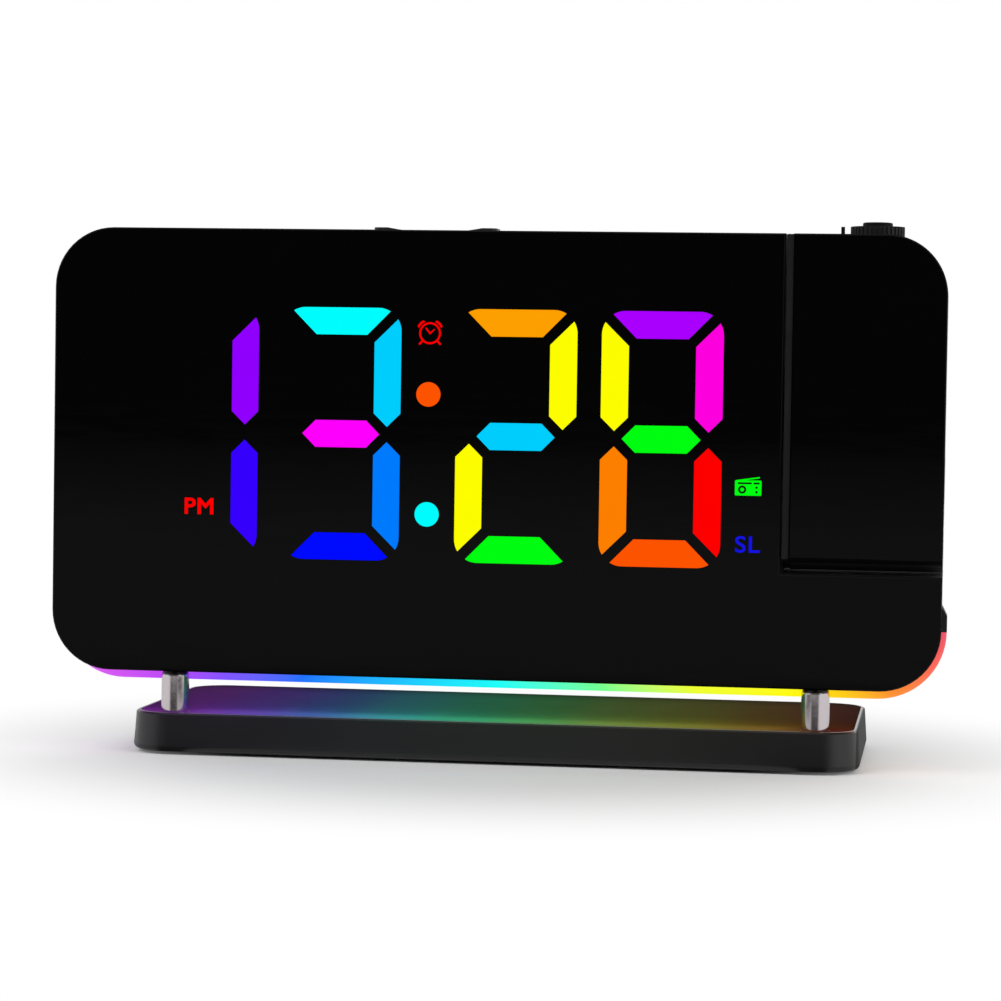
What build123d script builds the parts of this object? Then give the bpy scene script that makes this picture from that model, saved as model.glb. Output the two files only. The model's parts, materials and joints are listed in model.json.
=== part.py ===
from build123d import *
import os
from math import asin, cos, radians, sin, sqrt, tan

# Projection alarm clock: a thin wide body on two posts over a weighted base, with a projector arm that
# turns on a horizontal hinge in a notch at the body's upper right. Millimetres, X right, Y back, Z up.
# The origin lies under the middle of the base, on the table.

os.makedirs("parts", exist_ok=True)

# ------------------------------------------------------------------ driving sizes
# Base and posts
base_width = 157.0
base_depth = 66.0
base_height = 8.4
base_corner = 9.0
base_draft = 4.0  # degrees
base_wall = 2.2
base_bottom_round = 1.2
base_rim_bevel = 0.35
cover_thickness = 1.5
cover_fit = 0.15
cover_screw_radius = 1.2
cover_head_radius = 2.2
cover_head_height = 0.75
cover_head_sink = 0.15
cover_boss_radius = 3.3
cover_screw_inset = 1.0  # inward of the posts
cover_screw_back = 13.0  # from the base's back edge
cover_screw_front = 18.0  # behind the posts
cover_screw_tip_gap = 0.5
ballast_side_inset = 17.5
ballast_end_inset = 8.0
ballast_thickness = 3.0
ballast_corner = 2.0
foot_radius = 5.0
foot_proud = 0.6
foot_recess = 0.6
foot_bevel = 0.3
foot_side_inset = 23.5
foot_end_inset = 10.5
post_side_inset = 9.5
post_inset = 6.0
post_radius = 3.0
post_height = 9.0
post_top_round = 1.3
post_screw_radius = 1.5
post_screw_grip = 7.0
post_head_radius = 2.8
post_head_height = 2.0
post_head_gap = 0.5
post_pillar_radius = 4.0
post_boss_radius = 2.7
post_boss_cap = 1.0

# Body
body_width = 190.0
body_height = 95.0
body_depth = 28.0
body_corner = 12.8
panel_set_back = 0.1  # behind the base's front face
wall = 2.0
back_round = 2.5
window_thickness = 2.0
window_bevel = 0.3
lap_depth = 2.0
lap_wall = 0.9
lap_gap = 0.1
rib_thickness = 1.5
boss_radius = 3.5
boss_gap = 0.4
screw_radius = 1.3
screw_head_radius = 2.4
screw_head_height = 1.6
screw_clearance = 0.05
screw_head_clearance = 0.2
screw_tip_gap = 1.0
shell_seat_depth = 5.0
pilot_depth = 8.0

# Display
display_side_margin = 19.2
display_arm_margin = 12.5
display_top_margin = 16.55
display_low_margin = 24.85
digit_gap = 5.15
colon_gap = 11.9
digit_corner = 5.0
segment_width = 5.75
segment_gap = 2.26
colon_radius = 2.6
colon_rise = 8.65
colon_drop = 16.75
window_corner = 0.7
indicator_side_gap = 5.4
mask_thickness = 0.2
reflector_depth = 8.5
diffuser_thickness = 0.8
diffuser_fit = 0.05
board_thickness = 1.6
module_border = 4.2
module_crown = 1.0
module_side_gap = 0.8
led_width = 2.0
led_height = 0.8
display_boss_radius = 3.0
display_boss_low_gap = 1.0
display_boss_high_gap = 0.4
display_screw_inset = 9.0
display_screw_high_inset = 13.0
display_ear_width = 7.8
display_ear_height = 9.6
display_screw_grip = 5.0
display_head_height = 1.2
hinge_relief_gap = 1.2

# Projector arm and its hinge
arm_width = 32.0
arm_side_gap = 1.7
notch_height = 71.0
hinge_drop = 34.4
arm_clearance = 0.4
shaft_radius = 5.0
shaft_bore_radius = 3.2
running_gap = 0.05
bush_wall = 2.0
bush_flange_radius = 9.0
bush_flange_thickness = 1.5
bush_proud = 0.3
washer_thickness = 0.8
washer_radius = 8.0
spring_thickness = 0.5
spring_rise = 1.4
clip_thickness = 1.0
clip_radius = 7.0
clip_slot = 4.0
clip_groove_depth = 0.5
shaft_tail = 1.0
shaft_flange = 15.0
shaft_flange_corner = 1.0
shaft_flange_thickness = 2.0
shaft_key_lip = 1.0
arm_front_wall = 1.5
arm_boss_radius = 3.4
arm_boss_inset = 5.6
arm_boss_drop = 10.0
arm_boss_rise = 9.5
index_gap = 1.2
index_thickness = 0.8
index_length = 2.0

# Projector optics, from the arm's middle line
lens_offset_x = 0.9
tube_radius = 8.5
tube_neck_radius = 5.5
tube_bore_radius = 6.7
tube_rise = 20.0
tube_wide_length = 26.0
tube_top_gap = 1.0
tube_ledge = 1.0
lower_saddle_rise = 7.0
heatsink_size = 20.0
heatsink_height = 3.0
heatsink_floor = 1.2
fin_pitch = 4.0
fin_slots = 5
projector_led_size = 5.0
condenser_rise = 6.0
condenser_edge = 1.5
condenser_crown = 3.0
lcd_rise = 16.0
lcd_size = 9.3
barrel_radius = 3.9
barrel_bore_radius = 2.6
barrel_nose_radius = 3.15
barrel_proud = 3.0
barrel_length = 22.0
barrel_edge_round = 0.3
objective_set_in = 0.4
objective_thickness = 1.4
objective_round = 0.6
ring_radius = 5.7
ring_proud = 2.1
ring_lift = 0.15
ring_neck_radius = 4.7
ring_flange_radius = 5.3
ring_flange_gap = 0.7
ring_flange_thickness = 0.8
focus_travel = 0.8
focus_spare = 0.4
grip_count = 36
grip_radius = 0.3
projector_key_rise = 9.8
projector_key_radius = 3.5
projector_key_proud = 0.8
projector_key_set = 7.5
projector_flange_lip = 0.7
board_post_radius = 1.2
board_side_gap = 0.4
board_low_edge = 4.8

# Light strip
strip_width = 6.0
strip_drop = 2.5
strip_side_proud = 1.1
strip_corner = 14.5
strip_inner = 3.2
strip_flange_width = 8.0
strip_lit_height = 12.0
strip_cap_height = 5.5
strip_set_forward = 1.2  # from the split between the shells
strip_fit = 0.15
strip_rim_round = 0.6
strip_rib_gap = 0.3
strip_led_pitch = 12.5
strip_led_count = 11
strip_led_width = 3.5
strip_led_depth = 2.8
strip_led_gap = 0.2
strip_board_margin = 4.0
strip_board_inset = 0.5

# Keys
key_travel = 0.5
key_depth = 7.0
key_set_forward = 7.0
key_proud = 0.6
key_fit = 0.25
key_corner = 1.5
key_edge_round = 0.4
key_flange = 0.8
key_flange_side_lip = 0.6
key_flange_end_lip = 0.3
key_gap = 0.1
key_width = 10.0
snooze_width = 27.0
snooze_x = -15.5
snooze_horn_proud = 1.3
snooze_horn_width = 3.2
snooze_key_gap = 6.0
key_pitch = 16.0
switch_size = 6.0
switch_height = 3.5
switch_well = 1.7
plunger_radius = 1.65
key_board_end = 1.0
key_board_side = 1.2
key_bracket_height = 3.0
key_bracket_front = 1.5

# Speaker
speaker_inset = 33.0
speaker_radius = 19.0
speaker_ring_depth = 4.0
speaker_rim = 2.5
speaker_rim_depth = 2.2
speaker_sheet = 0.8
speaker_floor = 1.0
speaker_depth = 7.2
speaker_neck_radius = 11.4
cone_set_in = 1.0
cone_sheet = 0.5
cone_depth = 5.2
cone_neck_radius = 6.2
magnet_radius = 10.0
magnet_depth = 3.2
grille_pitch = 4.2
grille_rings = 3
grille_hole_radius = 1.0

# Backup cell and its bay
cell_radius = 10.0
cell_thickness = 3.2
cell_round = 0.4
cell_gap = 0.6
cell_cover_gap = 0.7
cell_rise = 4.0
contact_thickness = 0.3
contact_radius = 4.0
contact_side_gap = 0.1
bay_x = -6.0
bay_board_gap = 6.4
bay_width = 26.0
bay_length = 36.0
bay_cover_thickness = 1.5
bay_screw_inset = 4.0
bay_screw_radius = 1.0
bay_screw_length = 4.5
bay_head_radius = 1.9
bay_head_height = 0.8
bay_head_sink = 0.9
bay_groove_depth = 0.4
bay_groove_width = 0.8
bay_groove_pitch = 2.0

# Main board and the ports
main_left_gap = 9.0
main_hinge_gap = 1.0
main_low_gap = 6.5
main_high_gap = 5.0
main_behind_display = 3.7
standoff_radius = 3.0
standoff_inset = 4.0
board_head_height = 0.9
chip_sizes = [(12.0, 12.0), (8.0, 5.0), (9.0, 7.0)]
chip_drop = 6.0
chip_rise = 12.0
port_rise = 18.0
port_set_in = 0.3
port_mouth_depth = 1.0
port_wall_gap = 0.25
inlet_inset = 11.8  # from the main board's end
inlet_width = 9.4
inlet_height = 3.7
inlet_wall = 0.3
inlet_tongue_width = 6.7
inlet_tongue = 0.7
port_pitch = 22.0
outlet_width = 13.2
outlet_height = 5.8
outlet_wall = 0.35
outlet_tongue_width = 11.0
outlet_tongue = 1.9
outlet_tongue_rise = 1.1

# ------------------------------------------------------------------ places worked out from them
base_bottom = foot_proud
base_top = base_bottom + base_height
body_bottom = base_top + post_height
body_top = body_bottom + body_height
body_mid_z = body_bottom + body_height / 2
front_y = -base_depth / 2 + panel_set_back
window_back_y = front_y + window_thickness
split_y = front_y + body_depth / 2
back_y = front_y + body_depth
inner_back_y = back_y - wall
post_x = base_width / 2 - post_side_inset
post_y = post_inset - base_depth / 2
corner_x = body_width / 2 - body_corner
corner_low_z = body_bottom + body_corner
corner_high_z = body_top - body_corner

arm_left = body_width / 2 - arm_width
arm_mid_x = body_width / 2 - arm_width / 2
notch_x = arm_left - arm_side_gap
notch_z = body_top - notch_height
hinge_z = body_top - hinge_drop
arm_sweep = hinge_z - notch_z - arm_clearance

# The four digits and the colon fill the display between its margins
display_left = display_side_margin - body_width / 2
display_right = notch_x - display_arm_margin
digit_width = (display_right - display_left - 2 * digit_gap - colon_gap) / 4
digit_height = body_height - display_top_margin - display_low_margin
digit_mid_z = body_bottom + display_low_margin + digit_height / 2
colon_x = (display_left + display_right) / 2
near_digit_offset = (colon_gap + digit_width) / 2
far_digit_offset = near_digit_offset + digit_width + digit_gap
digit_centres = [
    (colon_x - far_digit_offset, digit_mid_z),
    (colon_x - near_digit_offset, digit_mid_z),
    (colon_x + near_digit_offset, digit_mid_z),
    (colon_x + far_digit_offset, digit_mid_z),
]
colon_dots = [(colon_x, digit_mid_z + colon_rise), (colon_x, digit_mid_z - colon_drop)]
side_indicator_x = display_right + indicator_side_gap
indicators = [  # x, height above the digits' middle, width, height of each window
    (colon_x, 21.85, 6.4, 6.6),
    (side_indicator_x, -9.35, 6.2, 4.6),
    (side_indicator_x, -21.55, 6.2, 4.4),
    (digit_centres[0][0], -15.95, 7.4, 4.4),
]
module_left = -(corner_x - boss_radius - 2 * cover_fit)
module_right = notch_x - wall - module_side_gap
module_low = digit_mid_z - digit_height / 2 - module_border
module_high = digit_mid_z + digit_height / 2 + module_border + module_crown
module_mid = ((module_left + module_right) / 2, (module_low + module_high) / 2)
module_size = (module_right - module_left, module_high - module_low)
mask_back_y = window_back_y + mask_thickness
reflector_back_y = mask_back_y + reflector_depth
display_board_back_y = reflector_back_y + board_thickness

shell_screw_spots = [
    (-corner_x, corner_low_z),
    (corner_x, corner_low_z),
    (-corner_x, corner_high_z),
    (notch_x - 2 * boss_radius, body_top - 2 * boss_radius),
]
display_low_z = module_low - display_boss_radius - display_boss_low_gap
display_high_z = module_high + display_boss_radius + display_boss_high_gap
display_screw_spots = [
    (module_left + display_screw_inset, display_low_z),
    (module_right - display_screw_inset, display_low_z),
    (module_left + display_screw_inset, display_high_z),
    (module_right - display_screw_high_inset, display_high_z),
]


# ------------------------------------------------------------------ shared outlines and fittings
def across(y):
    """Sketch plane seen from the front, its x along X and its y along Z; extruding by -t goes back."""
    return Plane(origin=(0, y, 0), x_dir=(1, 0, 0), z_dir=(0, -1, 0))


def level(z):
    """Sketch plane seen from above, at height z."""
    return Plane.XY.offset(z)


def body_outline(inset=0.0):
    """The body seen from the front: a rounded rectangle less the arm's notch."""
    with BuildSketch() as outline:
        with Locations((0, body_mid_z)):
            RectangleRounded(body_width - 2 * inset, body_height - 2 * inset, body_corner - inset)
        with Locations((notch_x - inset, notch_z - inset)):
            Rectangle(body_width, body_height, align=(Align.MIN, Align.MIN), mode=Mode.SUBTRACT)
    return outline.sketch


def arm_outline(inset=0.0):
    """The arm seen from the front, down to the notch's floor."""
    with BuildSketch() as outline:
        with Locations((0, body_mid_z)):
            RectangleRounded(body_width - 2 * inset, body_height - 2 * inset, body_corner - inset)
        with Locations((arm_left + inset, notch_z)):
            Rectangle(body_width, body_height, align=(Align.MIN, Align.MIN), mode=Mode.INTERSECT)
    return outline.sketch


def arm_side(inset=0.0):
    """The arm seen from its side: its underside is an arc about the hinge, so that it clears the notch."""
    with BuildSketch() as side:
        with Locations((split_y, hinge_z)):
            Circle(arm_sweep - inset)
            Rectangle(body_depth, 2 * arm_sweep, mode=Mode.INTERSECT)
            Rectangle(body_depth, hinge_drop, align=(Align.CENTER, Align.MIN))
    return side.sketch


def arm_block(front, back, inset=0.0):
    """The arm's form between two depths, its sides drawn in by the inset."""
    with BuildPart() as block:
        with BuildSketch(across(front)):
            add(arm_outline(inset))
        extrude(amount=front - back)
        with BuildSketch(Plane.YZ):
            add(arm_side(inset))
        extrude(amount=body_width, mode=Mode.INTERSECT)
    return block.part


def strip_outline(inset=0.0):
    """Outer edge of the light strip: it hangs below the body and stands a little proud at the sides."""
    half = body_width / 2 + strip_side_proud
    with BuildSketch() as outline:
        with Locations((0, body_bottom - strip_drop + inset)):
            RectangleRounded(2 * (half - inset), body_height, strip_corner - inset,
                             align=(Align.CENTER, Align.MIN))
    return outline.sketch


def below(sketch, z):
    """The part of a front-view sketch that lies below height z."""
    with BuildSketch() as lower:
        add(sketch)
        with Locations((0, z)):
            Rectangle(2 * body_width, 2 * body_height, align=(Align.CENTER, Align.MAX), mode=Mode.INTERSECT)
    return lower.sketch


def ring_sketch(outer, inner):
    """One outline less another."""
    with BuildSketch() as ring:
        add(outer)
        add(inner, mode=Mode.SUBTRACT)
    return ring.sketch


def screw_set(plane, places, shank_length, radius=screw_radius, head=screw_head_radius,
              head_height=screw_head_height):
    """Pan-head screws with a cross recess: heads behind the plane, shanks along its normal."""
    with BuildPart() as screws:
        with BuildSketch(plane):
            with Locations(*places):
                Circle(head)
        extrude(amount=-head_height)
        with BuildSketch(plane):
            with Locations(*places):
                Circle(radius)
        extrude(amount=shank_length)
        with BuildSketch(plane.offset(-head_height)):
            with Locations(*places):
                Rectangle(1.2 * head, 0.25 * head)
                Rectangle(0.25 * head, 1.2 * head)
        extrude(amount=0.5 * head_height, mode=Mode.SUBTRACT)
    return screws.part


def finish(shape, name):
    """Label a finished piece and write its file."""
    shape.label = name
    export_step(shape, f"parts/{name}.step")


# ------------------------------------------------------------------ base
base_cavity_top = base_top - base_wall
base_flare = base_bottom_round * tan(radians(base_draft))
base_taper_inset = base_height * tan(radians(base_draft))
cover_top = base_bottom + cover_thickness
cover_screw_spots = [
    (side * (post_x - cover_screw_inset), y)
    for y in (base_depth / 2 - cover_screw_back, post_y + cover_screw_front)
    for side in (-1, 1)
]
foot_x = base_width / 2 - foot_side_inset
foot_y = base_depth / 2 - foot_end_inset
foot_spots = [(-foot_x, -foot_y), (foot_x, -foot_y), (-foot_x, foot_y), (foot_x, foot_y)]
post_spots = [(-post_x, post_y), (post_x, post_y)]
post_pillar_z = cover_top + post_head_height + post_head_gap
post_bore_radius = post_screw_radius + cover_fit

with BuildPart() as base_shell:
    with BuildSketch(level(base_bottom)):
        RectangleRounded(base_width + 2 * base_flare, base_depth + 2 * base_flare, base_corner)
    extrude(amount=base_height, taper=base_draft)
    fillet(base_shell.faces().sort_by(Axis.Z)[0].edges(), base_bottom_round)
    chamfer(base_shell.faces().sort_by(Axis.Z)[-1].edges(), base_rim_bevel)
    with BuildSketch(level(base_bottom)):
        RectangleRounded(base_width - 2 * base_wall, base_depth - 2 * base_wall, base_corner - base_wall)
    extrude(amount=base_cavity_top - base_bottom, taper=base_draft, mode=Mode.SUBTRACT)
    with BuildSketch(level(base_cavity_top)):
        with Locations(*post_spots):
            Circle(post_pillar_radius)
    extrude(amount=post_pillar_z - base_cavity_top)
    with BuildSketch(level(base_cavity_top)):
        with Locations(*cover_screw_spots):
            Circle(cover_boss_radius)
    extrude(amount=cover_top - base_cavity_top)
    with BuildSketch(level(cover_top)):
        with Locations(*cover_screw_spots):
            Circle(cover_screw_radius + screw_clearance)
    extrude(amount=base_cavity_top - cover_top - cover_screw_tip_gap, mode=Mode.SUBTRACT)
    with BuildSketch(level(base_bottom)):
        with Locations(*post_spots):
            Circle(post_bore_radius)
    extrude(amount=base_height, mode=Mode.SUBTRACT)
finish(base_shell.part, "base_shell")

with BuildPart() as base_ballast:
    with BuildSketch(level(base_cavity_top - ballast_thickness)):
        RectangleRounded(base_width - 2 * ballast_side_inset, base_depth - 2 * ballast_end_inset,
                         ballast_corner)
    extrude(amount=ballast_thickness)
finish(base_ballast.part, "base_ballast")

cover_seat_z = base_bottom + cover_head_height + cover_head_sink

with BuildPart() as base_bottom_cover:
    with BuildSketch(level(base_bottom)):
        inner_width = base_width - 2 * base_wall - 2 * base_taper_inset * cover_thickness / base_height
        inner_depth = base_depth - 2 * base_wall - 2 * base_taper_inset * cover_thickness / base_height
        RectangleRounded(inner_width - 2 * cover_fit, inner_depth - 2 * cover_fit,
                         base_corner - base_wall - cover_fit)
        with Locations(*cover_screw_spots):
            Circle(cover_screw_radius + cover_fit, mode=Mode.SUBTRACT)
    extrude(amount=cover_thickness)
    with BuildSketch(level(base_bottom)):
        with Locations(*cover_screw_spots):
            Circle(cover_head_radius + screw_head_clearance)
    extrude(amount=cover_seat_z - base_bottom, mode=Mode.SUBTRACT)
    with BuildSketch(level(base_bottom)):
        with Locations(*foot_spots):
            Circle(foot_radius + cover_fit)
    extrude(amount=foot_recess, mode=Mode.SUBTRACT)
finish(base_bottom_cover.part, "base_bottom_cover")

base_screws = screw_set(
    level(cover_seat_z), cover_screw_spots, base_cavity_top - 2 * cover_screw_tip_gap - cover_seat_z,
    cover_screw_radius, cover_head_radius, cover_head_height,
)
finish(base_screws, "base_screws")

with BuildPart() as rubber_feet:
    with BuildSketch(level(0)):
        with Locations(*foot_spots):
            Circle(foot_radius)
    extrude(amount=foot_proud + foot_recess)
    chamfer(rubber_feet.edges().filter_by(GeomType.CIRCLE).group_by(Axis.Z)[0], foot_bevel)
finish(rubber_feet.part, "rubber_feet")

with BuildPart() as support_posts:
    with BuildSketch(level(base_top)):
        with Locations(*post_spots):
            Circle(post_radius)
    extrude(amount=post_height)
    fillet(support_posts.edges().filter_by(GeomType.CIRCLE).group_by(Axis.Z)[-1], post_top_round)
    with BuildSketch(level(base_top)):
        with Locations(*post_spots):
            Circle(post_bore_radius)
    extrude(amount=post_height, mode=Mode.SUBTRACT)
finish(support_posts.part, "support_posts")

post_screws = screw_set(
    level(post_pillar_z), post_spots, body_bottom - post_pillar_z + wall + post_screw_grip,
    post_screw_radius, post_head_radius, post_head_height,
)
finish(post_screws, "post_screws")

# ------------------------------------------------------------------ display stack
segment_cut = segment_gap / sqrt(2)


def segment_points():
    """Corner points of the seven segments about the digit's centre, ends cut at 45 degrees."""
    half_w = digit_width / 2
    half_h = digit_height / 2
    cut = segment_cut
    seg = segment_width
    top = [(-half_w + cut, half_h), (half_w - cut, half_h),
           (half_w - cut - seg, half_h - seg), (-half_w + cut + seg, half_h - seg)]
    side = [(half_w, half_h - cut), (half_w, cut + seg / 2), (half_w - seg / 2, cut),
            (half_w - seg, cut + seg / 2), (half_w - seg, half_h - cut - seg)]
    bar = [(-half_w + seg / 2 + cut, 0), (-half_w + seg + cut, seg / 2), (half_w - seg - cut, seg / 2),
           (half_w - seg / 2 - cut, 0), (half_w - seg - cut, -seg / 2), (-half_w + seg + cut, -seg / 2)]

    def turned(points, sx, sz):
        return [(sx * x, sz * z) for x, z in points]

    return [top, side, turned(side, 1, -1), turned(top, 1, -1), turned(side, -1, -1), turned(side, -1, 1), bar]


def digit_segments():
    """The seven segments of one digit, trimmed to the digit's rounded corners."""
    with BuildSketch() as digit:
        for points in segment_points():
            Polygon(*points, align=None)
        RectangleRounded(digit_width, digit_height, digit_corner, mode=Mode.INTERSECT)
    return digit.sketch


def apertures(inset=0.0):
    """Every lit shape of the display: four digits, the colon and the indicator windows."""
    with BuildSketch() as shapes:
        with Locations(*digit_centres):
            add(digit_segments())
        with Locations(*colon_dots):
            Circle(colon_radius)
        for x, rise, width, tall in indicators:
            with Locations((x, digit_mid_z + rise)):
                RectangleRounded(width, tall, window_corner)
        if inset > 0:
            offset(amount=-inset)
    return shapes.sketch


def module_outline():
    """Outline of the display module, with room for the arm's hinge at its right edge."""
    with BuildSketch() as outline:
        with Locations(module_mid):
            Rectangle(*module_size)
        with Locations((hinge_relief_x, hinge_z)):
            Rectangle(body_width, 2 * hinge_relief, align=(Align.MIN, Align.CENTER), mode=Mode.SUBTRACT)
    return outline.sketch


hinge_relief = bush_flange_radius + hinge_relief_gap
hinge_relief_x = display_right + wall

with BuildPart() as front_window:
    with BuildSketch(across(front_y)):
        add(body_outline())
    extrude(amount=-window_thickness)
    chamfer(front_window.faces().sort_by(Axis.Y)[0].edges(), window_bevel)
finish(front_window.part, "front_window")

with BuildPart() as display_mask:
    with BuildSketch(across(window_back_y)):
        with Locations(module_mid):
            Rectangle(*module_size)
        add(apertures(), mode=Mode.SUBTRACT)
    extrude(amount=-mask_thickness)
finish(display_mask.part, "display_mask")

with BuildPart() as reflector_frame:
    with BuildSketch(across(mask_back_y)):
        add(module_outline())
        add(apertures(), mode=Mode.SUBTRACT)
    extrude(amount=-reflector_depth)
finish(reflector_frame.part, "reflector_frame")

with BuildPart() as segment_diffusers:
    with BuildSketch(across(mask_back_y)):
        add(apertures(diffuser_fit))
    extrude(amount=-diffuser_thickness)
finish(segment_diffusers.part, "segment_diffusers")

flat_led_x = digit_width / 6
side_led_x = (digit_width - segment_width) / 2
side_led_z = digit_height / 4
side_led_step = digit_height / 10
led_spots = [(x, z) for x, z in colon_dots]
led_spots += [(x, digit_mid_z + rise) for x, rise, width, tall in indicators]
for digit_x, digit_z in digit_centres:
    for bar_z in (-(digit_height - segment_width) / 2, 0, (digit_height - segment_width) / 2):
        led_spots += [(digit_x - flat_led_x, digit_z + bar_z), (digit_x + flat_led_x, digit_z + bar_z)]
    for side_x in (-side_led_x, side_led_x):
        for middle in (-side_led_z, side_led_z):
            for step in (-side_led_step, side_led_step):
                led_spots.append((digit_x + side_x, digit_z + middle + step))

with BuildPart() as segment_leds:
    with BuildSketch(across(reflector_back_y)):
        with Locations(*led_spots):
            Rectangle(led_width, led_width)
    extrude(amount=led_height)
finish(segment_leds.part, "segment_leds")

with BuildPart() as display_board:
    with BuildSketch(across(reflector_back_y)):
        add(module_outline())
        with Locations(*display_screw_spots):
            Rectangle(display_ear_width, display_ear_height)
        with Locations(*display_screw_spots):
            Circle(screw_radius + cover_fit, mode=Mode.SUBTRACT)
    extrude(amount=-board_thickness)
finish(display_board.part, "display_board")

display_screws = screw_set(across(display_board_back_y), display_screw_spots,
                           board_thickness + display_screw_grip, head_height=display_head_height)
finish(display_screws, "display_screws")

# ------------------------------------------------------------------ light strip
strip_y = split_y - strip_set_forward
strip_front_y = strip_y - strip_width / 2
strip_lit_z = body_bottom + strip_lit_height
strip_cap_z = strip_lit_z + strip_cap_height
strip_led_z = body_bottom + strip_inner + strip_led_gap
strip_board_z = strip_led_z + led_height
strip_led_spots = [((i - (strip_led_count - 1) / 2) * strip_led_pitch, strip_y) for i in range(strip_led_count)]

with BuildPart() as light_strip:
    with BuildSketch(across(strip_front_y)):
        add(below(ring_sketch(strip_outline(), body_outline(strip_inner)), strip_lit_z))
    extrude(amount=-strip_width)
    with BuildSketch(across(strip_y - strip_flange_width / 2)):
        add(below(ring_sketch(body_outline(wall + lap_gap), body_outline(strip_inner)), strip_lit_z))
    extrude(amount=-strip_flange_width)
    visible_rims = light_strip.edges().filter_by(
        lambda edge: edge.bounding_box().min.Z < body_bottom - strip_drop + 0.01
        and abs(edge.bounding_box().max.Y - edge.bounding_box().min.Y) < 0.01
    )
    fillet(visible_rims, strip_rim_round)
finish(light_strip.part, "light_strip")

with BuildPart() as strip_end_caps:
    with BuildSketch(across(strip_front_y)):
        with BuildLine():
            Polyline(
                (body_width / 2 - strip_inner, strip_lit_z),
                (body_width / 2 + strip_side_proud, strip_lit_z),
                (body_width / 2 + strip_side_proud, strip_cap_z - 2 * strip_side_proud),
                (body_width / 2, strip_cap_z),
                (body_width / 2 - strip_inner, strip_cap_z),
                close=True,
            )
        make_face()
        mirror(about=Plane.YZ)
    extrude(amount=-strip_width)
finish(strip_end_caps.part, "strip_end_caps")

with BuildPart() as strip_leds:
    with BuildSketch(level(strip_led_z)):
        with Locations(*strip_led_spots):
            Rectangle(strip_led_width, strip_led_depth)
    extrude(amount=led_height)
finish(strip_leds.part, "strip_leds")

with BuildPart() as strip_board:
    with BuildSketch(level(strip_board_z)):
        with Locations((0, strip_y)):
            Rectangle(strip_led_count * strip_led_pitch + 2 * strip_board_margin,
                      strip_width - 2 * strip_board_inset)
    extrude(amount=led_height)
finish(strip_board.part, "strip_board")


# ------------------------------------------------------------------ body shells
def sideways(x):
    """Sketch plane seen from the right, its x along Y and its y along Z."""
    return Plane.YZ.offset(x)


def from_behind(y):
    """Sketch plane seen from behind: its x runs along -X and its y along Z."""
    return Plane(origin=(0, y, 0), x_dir=(-1, 0, 0), z_dir=(0, 1, 0))


def seen_from_behind(spots):
    return [(-x, z) for x, z in spots]


def strip_slot():
    """The band of body wall that gives way to the light strip."""
    with BuildSketch() as everywhere:
        with Locations((0, body_mid_z)):
            Rectangle(2 * body_width, 2 * body_height)
    return below(ring_sketch(everywhere.sketch, body_outline(wall + lap_gap)), strip_cap_z + strip_fit)


bush_radius = shaft_radius + running_gap + bush_wall
boss_front_y = window_back_y + boss_gap
rib_back_y = strip_y - strip_flange_width / 2 - strip_rib_gap
shell_seat_y = back_y - shell_seat_depth
post_boss_top = body_bottom + wall + post_screw_grip + post_boss_cap
rib_root = wall / 2

with BuildPart() as front_frame:
    with BuildSketch(across(window_back_y)):
        add(ring_sketch(body_outline(), body_outline(wall)))
    extrude(amount=window_back_y - split_y)
    with BuildSketch(across(split_y - lap_depth)):
        add(ring_sketch(body_outline(wall - lap_wall), body_outline(wall)))
    extrude(amount=-lap_depth, mode=Mode.SUBTRACT)
    with BuildSketch(across(boss_front_y)):
        with Locations(*shell_screw_spots):
            Circle(boss_radius)
    extrude(amount=boss_front_y - split_y)
    with BuildSketch(across(boss_front_y)):
        with Locations(*display_screw_spots):
            Circle(display_boss_radius)
    extrude(amount=boss_front_y - reflector_back_y)
    with BuildSketch(across(boss_front_y)):
        for x, z in shell_screw_spots + display_screw_spots:
            wall_z = body_top - rib_root if z > body_mid_z else body_bottom + rib_root
            with Locations((x, (z + wall_z) / 2)):
                Rectangle(rib_thickness, abs(z - wall_z))
    extrude(amount=boss_front_y - rib_back_y)
    with BuildSketch(level(body_bottom + rib_root)):
        with Locations(*post_spots):
            Circle(post_boss_radius)
    extrude(amount=post_boss_top - body_bottom - rib_root)
    with BuildSketch(across(split_y - pilot_depth)):
        with Locations(*shell_screw_spots):
            Circle(screw_radius + screw_clearance)
    extrude(amount=-pilot_depth, mode=Mode.SUBTRACT)
    with BuildSketch(across(reflector_back_y - display_screw_grip - screw_tip_gap)):
        with Locations(*display_screw_spots):
            Circle(screw_radius + screw_clearance)
    extrude(amount=-display_screw_grip - screw_tip_gap, mode=Mode.SUBTRACT)
    with BuildSketch(level(body_bottom)):
        with Locations(*post_spots):
            Circle(post_screw_radius + screw_clearance)
    extrude(amount=post_boss_top - body_bottom - post_boss_cap / 2, mode=Mode.SUBTRACT)
    with BuildSketch(across(strip_front_y - strip_fit)):
        add(strip_slot())
    extrude(amount=-body_depth, mode=Mode.SUBTRACT)
    with BuildSketch(sideways(notch_x - 2 * wall)):
        with Locations((split_y, hinge_z)):
            Circle(bush_radius + running_gap)
    extrude(amount=4 * wall, mode=Mode.SUBTRACT)
finish(front_frame.part, "front_frame")

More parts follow.
